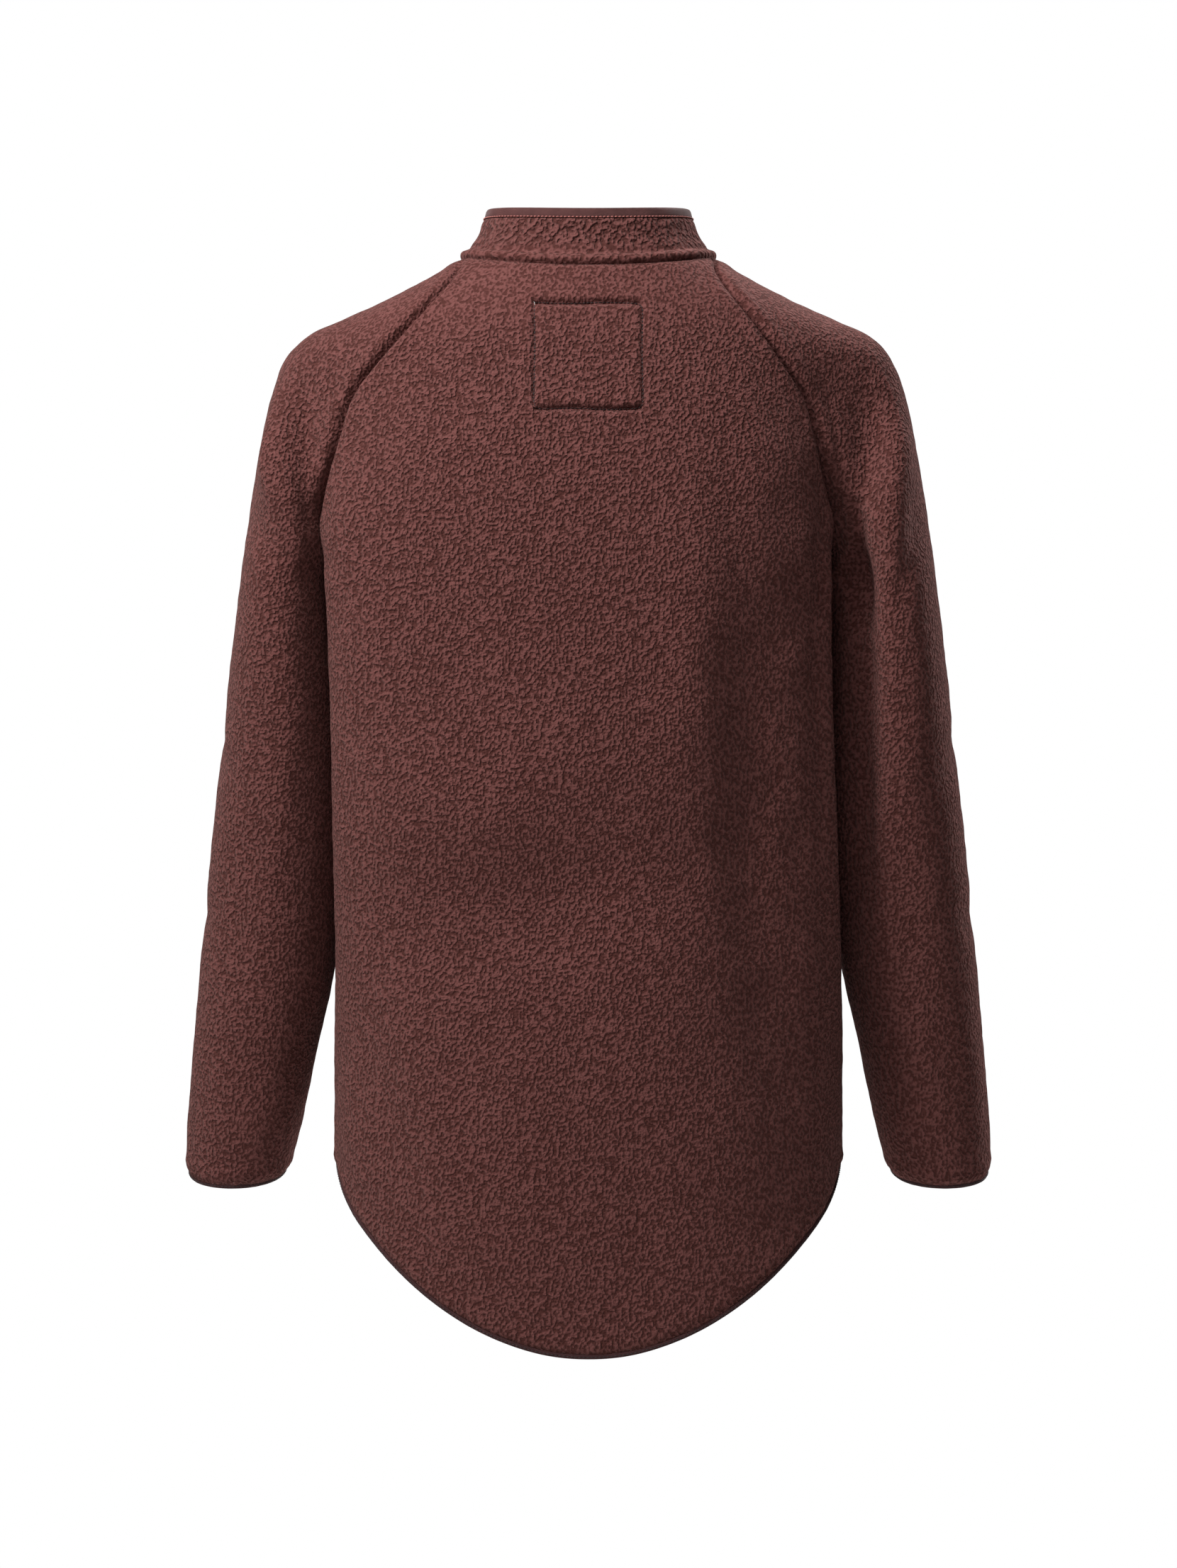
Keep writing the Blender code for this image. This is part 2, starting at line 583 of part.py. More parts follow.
def material(name, colour, roughness, metallic):
    made = bpy.data.materials.get(name) or bpy.data.materials.new(name)
    made.use_nodes = True
    shader = made.node_tree.nodes["Principled BSDF"]
    shader.inputs["Base Color"].default_value = (*colour, 1.0)
    shader.inputs["Roughness"].default_value = roughness
    shader.inputs["Metallic"].default_value = metallic
    return made


def add_object(name, mesh, look):
    mesh.materials.append(material(*look))
    made = bpy.data.objects.new(name, mesh)
    JACKET.objects.link(made)
    mesh.shade_smooth()
    mesh.set_sharp_from_angle(angle=math.radians(SHARP_ANGLE))
    return made


def used_only(faces):
    """The numbers of the points that the faces use, and the faces in terms of their places."""
    used = sorted({int(i) for face in faces for i in face})
    place = {old: new for new, old in enumerate(used)}
    return used, [tuple(place[int(i)] for i in face) for face in faces]


def rim_faces(points, faces, count):
    """The two triangles over each free edge, cut from its higher end, so that two walls at a seam match."""
    edges = {(a, b) for face in faces for a, b in zip(face, face[1:] + face[:1])}
    made = []
    for a, b in sorted(edges):
        if (b, a) in edges:
            continue
        if points[a][2] > points[b][2]:
            made += [(b, a, b + count), (a, a + count, b + count)]
        else:
            made += [(b, a, a + count), (b, a + count, b + count)]
    return made


def halves(points, quad):
    """A quad's two triangles, cut along its shorter diagonal."""
    a, b, c, d = quad
    if np.linalg.norm(points[a] - points[c]) <= np.linalg.norm(points[b] - points[d]):
        return (a, b, c), (a, c, d)
    return (a, b, d), (b, c, d)


def cloth(panel, look):
    """A closed wall of cloth: the panel's outer face, the same face moved in, and a rim round the edges."""
    used, quads = used_only(panel.faces)
    outer = panel.points[used]
    faces = [part for quad in quads for part in halves(outer, quad)]
    inner = outer - panel.normals[used] * WALL
    count = len(used)
    back = [tuple(i + count for i in reversed(face)) for face in faces]
    mesh = bpy.data.meshes.new(panel.name)
    every = faces + back + rim_faces(outer, faces, count)
    mesh.from_pydata((np.concatenate([outer, inner]) * MM).tolist(), [], every)
    return add_object(panel.name, mesh, look)


def strip(name, line, across, down, height, closed=False):
    """A rounded strip of binding past an edge line, which runs along the middle of the edge.

    across and down are the directions across the wall and out of the cloth, at each point of the line.
    """
    sides = BINDING_SIDES
    angle = 2 * np.pi * (np.arange(sides) + 0.5) / sides
    shape_x = np.sign(np.cos(angle)) * np.abs(np.cos(angle)) ** BINDING_POWER * BINDING_WALL / 2
    shape_y = np.sign(np.sin(angle)) * np.abs(np.sin(angle)) ** BINDING_POWER
    shape_y = shape_y / np.abs(shape_y).max() * height / 2
    middle = line + down * (SEAM_GAP + height / 2)
    offset = across[:, None] * shape_x[None, :, None] + down[:, None] * shape_y[None, :, None]
    rings = middle[:, None] + offset
    count = len(line)
    faces = []
    for i in range(count if closed else count - 1):
        k = (i + 1) % count
        for j in range(sides):
            m = (j + 1) % sides
            faces.append((i * sides + j, i * sides + m, k * sides + m, k * sides + j))
    if not closed:
        faces.append(tuple(range(sides))[::-1])
        faces.append(tuple((count - 1) * sides + j for j in range(sides)))
    mesh = bpy.data.meshes.new(name)
    mesh.from_pydata((rings.reshape(-1, 3) * MM).tolist(), [], faces)
    face_outwards(mesh)
    return add_object(name, mesh, BINDING_LOOK)


def face_outwards(mesh):
    shape = bmesh.new()
    shape.from_mesh(mesh)
    bmesh.ops.recalc_face_normals(shape, faces=shape.faces)
    if shape.calc_volume(signed=True) < 0:
        bmesh.ops.reverse_faces(shape, faces=shape.faces)
    shape.to_mesh(mesh)
    shape.free()


def edge_frame(panel, edge, closed):
    """The middle of a panel's cut edge, the direction across the wall, and the direction out of the cloth."""
    outer, normal = panel.points[edge], panel.normals[edge]
    middle = outer - normal * WALL / 2
    if closed:
        line = unit(np.roll(middle, -1, axis=0) - np.roll(middle, 1, axis=0))
    else:
        line = unit(np.gradient(middle, axis=0))
    into = inward(panel, edge, line)
    across = unit(normal - (normal * line).sum(axis=1, keepdims=True) * line)
    down = -unit(into - (into * across).sum(axis=1, keepdims=True) * across)
    return middle, across, down


# Cloth pieces

def body_and_sleeve(side):
    """The outer faces of one side's half back, front and sleeve, x positive."""
    distance = column(RAGLAN_SEEN, RAGLAN_SEEN_COLUMNS, "x_" + side)
    height = column(RAGLAN_SEEN, RAGLAN_SEEN_COLUMNS, "level")
    back_plan = [(turn_at(x, z, side), z) for x, z in zip(distance, height)] + RAGLAN_BACK
    back_seam = raglan_seam(back_plan, RAGLAN_BACK_ANGLE, side)
    front_seam = raglan_seam(RAGLAN_FRONT, RAGLAN_FRONT_ANGLE, side)
    back = body_panel(back_seam, side, 0, BACK_HALF_COLUMNS, (RAGLAN_BACK_ANGLE, 0), 0)
    front_neck = (RAGLAN_FRONT_ANGLE, front_end(COLLAR[0][1]))
    front = body_panel(front_seam, side, 2, FRONT_COLUMNS, front_neck, ZIP_OPENING / 2)
    down = ROWS_BELOW + ROWS_ABOVE - np.arange(ROWS_ABOVE + 1)
    back_across = unit(back[down, 0] - back[down, 1])
    front_across = unit(front[down, 0] - front[down, 1])
    sleeve = sleeve_panel(back_seam, front_seam, back_across, front_across, side)
    return back, front, sleeve


def neck_edges(panels):
    """Gives each panel's neck edge the neck's wall direction."""
    rows = ROWS_BELOW + ROWS_ABOVE
    back, sleeve = RAGLAN_BACK_ANGLE, RAGLAN_FRONT_ANGLE
    half = back * (1 - spread(BACK_HALF_COLUMNS))
    front = sleeve + spread(FRONT_COLUMNS) * (front_end(COLLAR[0][1]) - sleeve)
    top = np.linspace(back, sleeve, SLEEVE_COLUMNS + 1)
    angles = {
        "back": (rows, np.concatenate([-half, half[::-1][1:]])),
        "front_left": (rows, front),
        "front_right": (rows, -front),
        "sleeve_left": (0, top),
        "sleeve_right": (0, -top),
    }
    for name, (row, angle) in angles.items():
        panel = panels[name]
        panel.seam_normals[panel.numbers[row]] = neck_normal(angle)


def make_panels():
    """Every cloth panel below the neck, folded and joined at its seams."""
    left_back, left_front, left_sleeve = body_and_sleeve("left")
    right_back, right_front, right_sleeve = (mirrored(g) for g in body_and_sleeve("right"))
    whole_back = np.concatenate([right_back, left_back[:, ::-1][:, 1:]], axis=1)
    panels = {
        "back": Panel("back", folded(whole_back), flip=True),
        "front_left": Panel("front_left", folded(left_front), flip=True),
        "front_right": Panel("front_right", folded(right_front)),
        "sleeve_left": Panel("sleeve_left", folded(left_sleeve), weld_from=ROWS_ABOVE),
        "sleeve_right": Panel("sleeve_right", folded(right_sleeve), weld_from=ROWS_ABOVE, flip=True),
    }
    rows = ROWS_BELOW + ROWS_ABOVE
    back = panels["back"]
    down = rows - np.arange(ROWS_ABOVE + 1)
    armhole = np.arange(ROWS_ABOVE + 1)
    side_rows = np.arange(ROWS_BELOW + 1)
    for side, back_column in (("left", back.columns), ("right", 0)):
        front, sleeve = panels["front_" + side], panels["sleeve_" + side]
        join_seam(back, back.numbers[side_rows, back_column], front, front.numbers[side_rows, 0])
        join_seam(back, back.numbers[down, back_column], sleeve, sleeve.numbers[armhole, 0])
        join_seam(front, front.numbers[down, 0], sleeve, sleeve.numbers[armhole, -1])
        underarm = unit(sleeve.seam_normals[sleeve.numbers[ROWS_ABOVE, 0]])
        for panel, corner in (
            (sleeve, sleeve.numbers[ROWS_ABOVE, 0]),
            (back, back.numbers[ROWS_BELOW, back_column]),
            (front, front.numbers[ROWS_BELOW, 0]),
        ):
            panel.seam_normals[corner] = underarm + CORNER_TURN * panel.normals[corner]
    neck_edges(panels)
    for panel in panels.values():
        settle(panel)
    return panels


def make_collar():
    """The collar up to its binding, its lower edge NECK_GAP clear of the panels."""
    place = column(COLLAR, COLLAR_RING_COLUMNS, "share")
    half = column(COLLAR, COLLAR_RING_COLUMNS, "half")
    shares = np.linspace(0, 1, COLLAR_ROWS + 1) ** COLLAR_ROW_POWER
    angles = np.linspace(-1, 1, COLLAR_COLUMNS + 1)
    grid = [collar_point(angles * front_end(float(smooth(share, place, half))), share) for share in shares]
    collar = Panel("collar", np.array(grid), flip=True)
    base = collar.numbers[0]
    normal = neck_normal(angles * front_end(half[0]))
    rise = collar.points[collar.numbers[1]] - collar.points[base]
    rise = unit(rise - (rise * normal).sum(axis=1, keepdims=True) * normal)
    collar.shift[base] += rise * NECK_GAP
    collar.seam_normals[base] = normal
    settle(collar)
    return collar


def front_end(half):
    """The angle at which a collar ring reaches the zip opening."""
    return 180 - math.degrees(math.asin((ZIP_OPENING / 2 / half) ** (COLLAR[0][-1] / 2)))


def binding(name, panel, edge, height, closed=False, step=0.0, ends=()):
    """A binding past a panel's edge, drawn in by step. ends: the ends that meet another at a side seam."""
    middle, across, down = edge_frame(panel, edge, closed)
    for end in ends:
        upright = np.array([0.0, 0.0, -1.0])
        down[end] = unit(upright - (upright * across[end]).sum() * across[end])
    line = middle - across * step
    return strip(name, line, across, down, height, closed)


# Zip

def zip_rows(front, collar, reach):
    """Points and wall directions up the left front and the collar, at a distance from the centre line."""
    points, normals = [], []
    for panel, rows in ((front, range(front.rows + 1)), (collar, range(1, collar.rows + 1))):
        for row in rows:
            numbers = panel.numbers[row]
            line, wall = panel.points[numbers], panel.normals[numbers]
            near = (line[:, 0] > 0) & (line[:, 1] < 0)
            line, wall = line[near], wall[near]
            order = np.argsort(line[:, 0])
            line, wall = line[order], wall[order]
            points.append([reach, *(np.interp(reach, line[:, 0], line[:, k]) for k in (1, 2))])
            normals.append([np.interp(reach, line[:, 0], wall[:, k]) for k in range(3)])
    return np.array(points), unit(np.array(normals))


def sweep(name, sections, look):
    """A closed solid through sections of equal point counts, capped at both ends."""
    count, sides = sections.shape[:2]
    faces = []
    for i in range(count - 1):
        for j in range(sides):
            k = (j + 1) % sides
            faces.append((i * sides + j, i * sides + k, (i + 1) * sides + k, (i + 1) * sides + j))
    faces.append(tuple(range(sides))[::-1])
    faces.append(tuple((count - 1) * sides + j for j in range(sides)))
    mesh = bpy.data.meshes.new(name)
    mesh.from_pydata((sections.reshape(-1, 3) * MM).tolist(), [], faces)
    face_outwards(mesh)
    return add_object(name, mesh, look)


def zip_tape(name, front, collar, side):
    """A tape behind one front's edge, from the teeth to TAPE_REACH."""
    faces, backs = [], []
    for reach in (CHAIN_WIDTH / 2 + SEAM_GAP, ZIP_OPENING / 2, TAPE_REACH):
        points, normals = zip_rows(front, collar, reach)
        if reach < TAPE_REACH:
            normals = unit(normals * np.array([0, 1, 1]))
        faces.append(points - normals * TAPE_FRONT)
        backs.append(points - normals * (TAPE_FRONT + TAPE_WALL))
    sections = np.stack([*faces, *backs[::-1]], axis=1)
    sweep(name, sections * np.array([side, 1, 1]), TAPE_LOOK)


def centre_path(front, collar):
    """The zip's line on the centre plane, bottom to top: points, outward directions and lengths."""
    points, normals = zip_rows(front, collar, ZIP_OPENING / 2)
    flat = np.array([0, 1, 1])
    return points * flat, unit(normals * flat), along(points * flat)


def zip_chain(path, first, last):
    """The meshed teeth, from one length along the path to another."""
    points, normals, length = path
    inside = (length > first + 1) & (length < last - 1)
    at = np.concatenate([[first], length[inside], [last]])
    line = np.stack([np.interp(at, length, points[:, k]) for k in range(3)], axis=1)
    out = unit(np.stack([np.interp(at, length, normals[:, k]) for k in range(3)], axis=1))
    across = np.array([CHAIN_WIDTH / 2, 0, 0])
    near, far = line - out * CHAIN_FRONT, line - out * (TAPE_FRONT + TAPE_WALL)
    sections = np.stack([near - across, near + across, far + across, far - across], axis=1)
    sweep("zip_chain", sections, TEETH_LOOK)


def zip_frame(path, at):
    """A matrix at a length along the path: X the wearer's left, Y into the cloth, Z up the zip, in metres."""
    points, normals, length = path
    line = np.array([np.interp(at, length, points[:, k]) for k in range(3)])
    above = np.array([np.interp(at + LEVEL_SPAN, length, points[:, k]) for k in range(3)])
    below = np.array([np.interp(at - LEVEL_SPAN, length, points[:, k]) for k in range(3)])
    up = unit(above - below)
    into = unit(np.cross(up, [1.0, 0, 0]))
    matrix = Matrix.Identity(4)
    for k, axis in enumerate(([1.0, 0, 0], into, up)):
        for row in range(3):
            matrix[row][k] = float(axis[row])
    for row in range(3):
        matrix[row][3] = float(line[row]) * MM
    return matrix


def block(shape, size, centre):
    """Adds a box, in millimetres, to a bmesh."""
    matrix = Matrix.Translation([c * MM for c in centre]) @ Matrix.Diagonal([s * MM for s in size] + [1])
    bmesh.ops.create_cube(shape, size=1.0, matrix=matrix)


def placed(name, shape, matrix, bevel=0.0):
    mesh = bpy.data.meshes.new(name)
    shape.to_mesh(mesh)
    shape.free()
    made = add_object(name, mesh, METAL_LOOK)
    made.matrix_world = matrix
    if bevel:
        edge = made.modifiers.new("edges", "BEVEL")
        edge.width = bevel * MM
        edge.segments = 2
    return made


def zip_box(path):
    """The retainer box at the bottom of the teeth, in front of the tapes."""
    depth, length = BOX_SIZE[1:]
    shape = bmesh.new()
    block(shape, BOX_SIZE, (0, TAPE_FRONT - SEAM_GAP - depth / 2, 0))
    placed("zip_box", shape, zip_frame(path, length / 2), bevel=BOX_BEVEL)


def slider(path, chain_top):
    """The slider: two plates with a post between them above the teeth, and a bridge that carries the pull."""
    width, plate, length = SLIDER_SIZE
    post_width, post_length = SLIDER_POST
    bridge_width, bridge_wall, bridge_height = BRIDGE
    front_plate = CHAIN_FRONT - SEAM_GAP - plate
    back_plate = TAPE_FRONT + TAPE_WALL + SEAM_GAP
    middle = SEAM_GAP + post_length - length / 2
    hinge = middle + HINGE_UP
    pieces = [
        ((width, plate, length), (0, front_plate + plate / 2, middle)),
        ((width, plate, length), (0, back_plate + plate / 2, middle)),
        ((post_width, back_plate - front_plate, post_length),
         (0, (back_plate + front_plate + plate) / 2, SEAM_GAP + post_length / 2)),
    ]
    foot = bridge_height + bridge_wall
    for reach in BRIDGE_REACH:
        pieces.append(((bridge_width, foot + plate / 2, bridge_wall),
                       (0, front_plate + plate / 2 - (foot + plate / 2) / 2, hinge + reach)))
    low, high = BRIDGE_REACH
    pieces.append(((bridge_width + OVERLAP, bridge_wall, high - low + bridge_wall + OVERLAP),
                   (0, front_plate - bridge_height - bridge_wall / 2, hinge + (low + high) / 2)))
    frame = zip_frame(path, chain_top)
    made = []
    for k, (size, centre) in enumerate(pieces):
        shape = bmesh.new()
        block(shape, size, centre)
        made.append(placed("zip_slider" if k == 0 else f"slider_piece_{k}", shape, frame))
    for other in made[1:]:
        JACKET.objects.unlink(other)
        CUTTERS.objects.link(other)
        other.hide_render = True
        other.display_type = "WIRE"
        join = made[0].modifiers.new("join", "BOOLEAN")
        join.operation = "UNION"
        join.object = other
    return frame @ Matrix.Translation((0, (front_plate - PULL_HINGE) * MM, hinge * MM))


def pull(hinge):
    """The pull tab, hanging from the bar at its top; its origin is on the hinge's axis."""
    width, wall, length = PULL_SIZE
    window_width, window_length = PULL_WINDOW
    drawing = bpy.data.curves.new("zip_pull", "CURVE")
    drawing.dimensions = "2D"
    drawing.fill_mode = "BOTH"
    drawing.extrude = wall / 2 * MM
    outer = rounded(width, length, PULL_CORNER, PULL_BAR - length / 2)
    inner = rounded(window_width, window_length, WINDOW_CORNER, -PULL_BAR - window_length / 2)
    for outline in (outer, inner):
        line = drawing.splines.new("POLY")
        line.points.add(len(outline) - 1)
        line.use_cyclic_u = True
        for point, (x, y) in zip(line.points, outline):
            point.co = (x * MM, y * MM, 0, 1)
    drawing.materials.append(material(*METAL_LOOK))
    made = bpy.data.objects.new("zip_pull", drawing)
    JACKET.objects.link(made)
    made.matrix_world = hinge @ Matrix.Rotation(math.pi / 2, 4, "X")


def rounded(width, length, radius, middle):
    """The outline of a rectangle with round corners, its middle at a height."""
    points = []
    for quarter, (sx, sy) in enumerate(((1, 1), (-1, 1), (-1, -1), (1, -1))):
        for k in range(4):
            angle = math.radians(90 * quarter + 30 * k)
            points.append((sx * (width / 2 - radius) + radius * math.cos(angle),
                           middle + sy * (length / 2 - radius) + radius * math.sin(angle)))
    return points


# The jacket

for old in list(bpy.data.objects):
    bpy.data.objects.remove(old)
JACKET = bpy.data.collections.new("fleece_jacket")
CUTTERS = bpy.data.collections.new("joined_pieces")
for group in (JACKET, CUTTERS):
    bpy.context.scene.collection.children.link(group)

PANELS = make_panels()
COLLAR_PANEL = make_collar()
for piece in [*PANELS.values(), COLLAR_PANEL]:
    cloth(piece, FLEECE_LOOK)
binding("collar_binding", COLLAR_PANEL, COLLAR_PANEL.numbers[-1], COLLAR_BINDING)
binding("hem_binding_back", PANELS["back"], PANELS["back"].numbers[0], HEM_BINDING, ends=(0, -1))
for side_name, way in (("left", 1), ("right", -1)):
    front_panel, sleeve = PANELS["front_" + side_name], PANELS["sleeve_" + side_name]
    binding("hem_binding_front_" + side_name, front_panel, front_panel.numbers[0], HEM_BINDING, ends=(0,))
    cuff = sleeve.numbers[-1][:-1]
    binding("cuff_binding_" + side_name, sleeve, cuff, CUFF_BINDING, closed=True, step=CUFF_BINDING_STEP)
    zip_tape("zip_tape_" + side_name, PANELS["front_left"], COLLAR_PANEL, way)
ZIP_PATH = centre_path(PANELS["front_left"], COLLAR_PANEL)
CHAIN_TOP = ZIP_PATH[2][-1] - CHAIN_SHORT
zip_box(ZIP_PATH)
zip_chain(ZIP_PATH, BOX_SIZE[2] + SEAM_GAP, CHAIN_TOP)
pull(slider(ZIP_PATH, CHAIN_TOP))
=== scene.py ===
"""The looks of the fleece jacket: cloth, bindings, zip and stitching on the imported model, light and camera.

Row frame: +Z up, -Y is the jacket's front, +X is the wearer's left. Sizes are in millimetres, and MM turns
them into metres when a mesh is made. The stage, lights and camera are placed in metres.
"""
import math

import bmesh
import bpy
import numpy as np
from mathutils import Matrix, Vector, noise
from mathutils.kdtree import KDTree


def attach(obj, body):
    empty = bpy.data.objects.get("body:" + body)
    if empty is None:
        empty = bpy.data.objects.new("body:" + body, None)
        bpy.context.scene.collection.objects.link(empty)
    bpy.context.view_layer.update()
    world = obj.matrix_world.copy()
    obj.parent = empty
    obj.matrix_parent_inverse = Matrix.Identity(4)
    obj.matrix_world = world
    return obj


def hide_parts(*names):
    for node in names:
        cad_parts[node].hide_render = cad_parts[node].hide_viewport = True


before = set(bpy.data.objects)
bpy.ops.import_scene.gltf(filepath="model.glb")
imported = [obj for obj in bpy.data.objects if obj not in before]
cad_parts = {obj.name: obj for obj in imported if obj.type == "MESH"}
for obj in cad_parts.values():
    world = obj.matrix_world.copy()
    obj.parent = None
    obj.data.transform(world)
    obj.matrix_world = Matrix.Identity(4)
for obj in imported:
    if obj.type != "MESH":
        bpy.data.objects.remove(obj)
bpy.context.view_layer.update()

MM = 0.001

# Camera: level, behind the jacket, as the photograph's
CAMERA_DISTANCE = 3500.0
CAMERA_LEVEL = -397.5
VIEW_WIDTH = 879.8  # what the frame's width takes in at the jacket's middle plane
IMAGE_ASPECT = 2212 / 1660
SENSOR = 36.0
VIEW_END = 50.0  # metres

# Cloth
WALL = 3.0  # the solids' cloth
PILE = 0.7  # the pile stands this proud of the solid
BACKING = 2.6  # from the solid's outer face to the cloth's inner face
FINE_LEVELS = 3  # halvings of the solid's grid
WELD = 0.01  # points closer than this are one
WALL_SLACK = 0.004  # an edge this near to the wall's thickness runs through the wall
QUAD_ANGLES = (70, 85)  # how far a quad's two triangles may be folded, and its corners off square
CORNER_ANGLE = 50  # an outline turns at least this many degrees at a corner
CLUMPS = [(15.0, 0.35), (7.5, 0.30)]  # size of the pile's unevenness, and its height

# How the cloth rolls in towards its edges. dip, reach: the edge's depth and how far in it starts. puff,
# puff_at, puff_reach: the soft ridge beside it.
EDGE_COLUMNS = ("dip", "reach", "puff", "puff_at", "puff_reach")
EDGES = {
    "seam": (3.1, 2.7, 1.2, 8.5, 5.0),
    "neck": (1.5, 1.7, 0.5, 8.0, 4.0),
    "welt": (1.5, 1.2, 1.5, 4.4, 3.0),
    "bound": (1.5, 2.4, 0.6, 6.0, 3.5),
    "top": (0.7, 1.6, 0.3, 5.0, 3.0),
    "cuff": (1.7, 2.8, 1.1, 6.5, 4.5),
    "zip": (1.2, 2.0, 0.6, 10.5, 3.0),
}
EDGE_UNEVEN = (0.3, 14.0)  # the ridge's and hollow's unevenness: its share and its size
DEEPEST = -3.1  # no edge rolls in deeper
HOLLOWS = {"welt": (1.1, 10.0, 2.6), "zip": (1.5, 5.5, 1.5)}  # depth, distance from the edge, reach
SEAM_SINK = (2.4, 2.6)  # how deep both faces of the cloth sink in a seam, and how far that reaches
OVERHANG = {"bound": 1.2, "cuff": 2.6}  # how far the pile hangs over the binding below it
OVERHANG_REACH = 5.0
SEAM_REACH = 4.0  # outlines closer than this belong to one seam
SEAM_PITCH = 0.5
SEAM_OVERLAP = 0.35  # the two cloths press this far into each other in the seam
SEAM_TURN = 5.0  # how far into the cloth its shared direction reaches
SEAM_SHIFT = 3.0  # how far into the cloth the closing of the gap reaches
SEAM_CALM = (2.0, 20.0, 0.3)  # a seam is shallower beside the neck: from, to, and its share there
CREASE_START = (3.0, 24.0)  # from a free edge, where creases begin and where they are full
CREASE_UNEVEN = (0.3, 45.0)  # share and size
SLEEVE_SIDE = (205.0, 225.0)  # a side crease counts only this far out
RUN_STEP = 12.0  # outline points further apart than this belong to different runs
FAR = 1000.0  # beyond any distance on the jacket

# Which edge an outline run is, told from the place of its middle
ZIP_SIDE = 12.0  # an edge beside the zip is this near to the centre line
ZIP_FRONT = -60.0  # and further forward than this
COLLAR_FRONT = (-74.0, -25.0)  # levels of the collar's front edges
COLLAR_TOP = 5.0
ZIP_BELOW = -100.0  # the fronts' zip edges
HEM_BELOW = -700.0
NECK_ABOVE = -70.0
NECK_SIDE = 95.0
SLEEVE_NECK_ABOVE = -31.0

# The stitched square on the upper back
SQUARE_SIZE = 79.0
SQUARE_MIDDLE = (-0.4, -84.4)
SQUARE_CORNER = 5.0
SQUARE_SHARP_CORNER = 0.5  # the top corner where the stitching starts and ends
SQUARE_GROOVE = {"ends": (3.1, 1.9), "sides": (1.2, 1.3)}  # depth and reach
SQUARE_SWELL = (0.7, 5.5, 3.6)  # height of the ridge beside the groove, its distance, and its reach
SQUARE_ABOVE = -160.0  # the square's relief is all above this level
SQUARE_REFINED = 7.0  # the mesh is finer this near to the square's line
SQUARE_END_GAP = 1.5  # the stitching ends this far short of its start
THREAD_END = (-0.6, 0.4, -2.6)  # the way the loose thread end lies
THREAD_END_OFF = 1.6  # how far it starts off the cloth

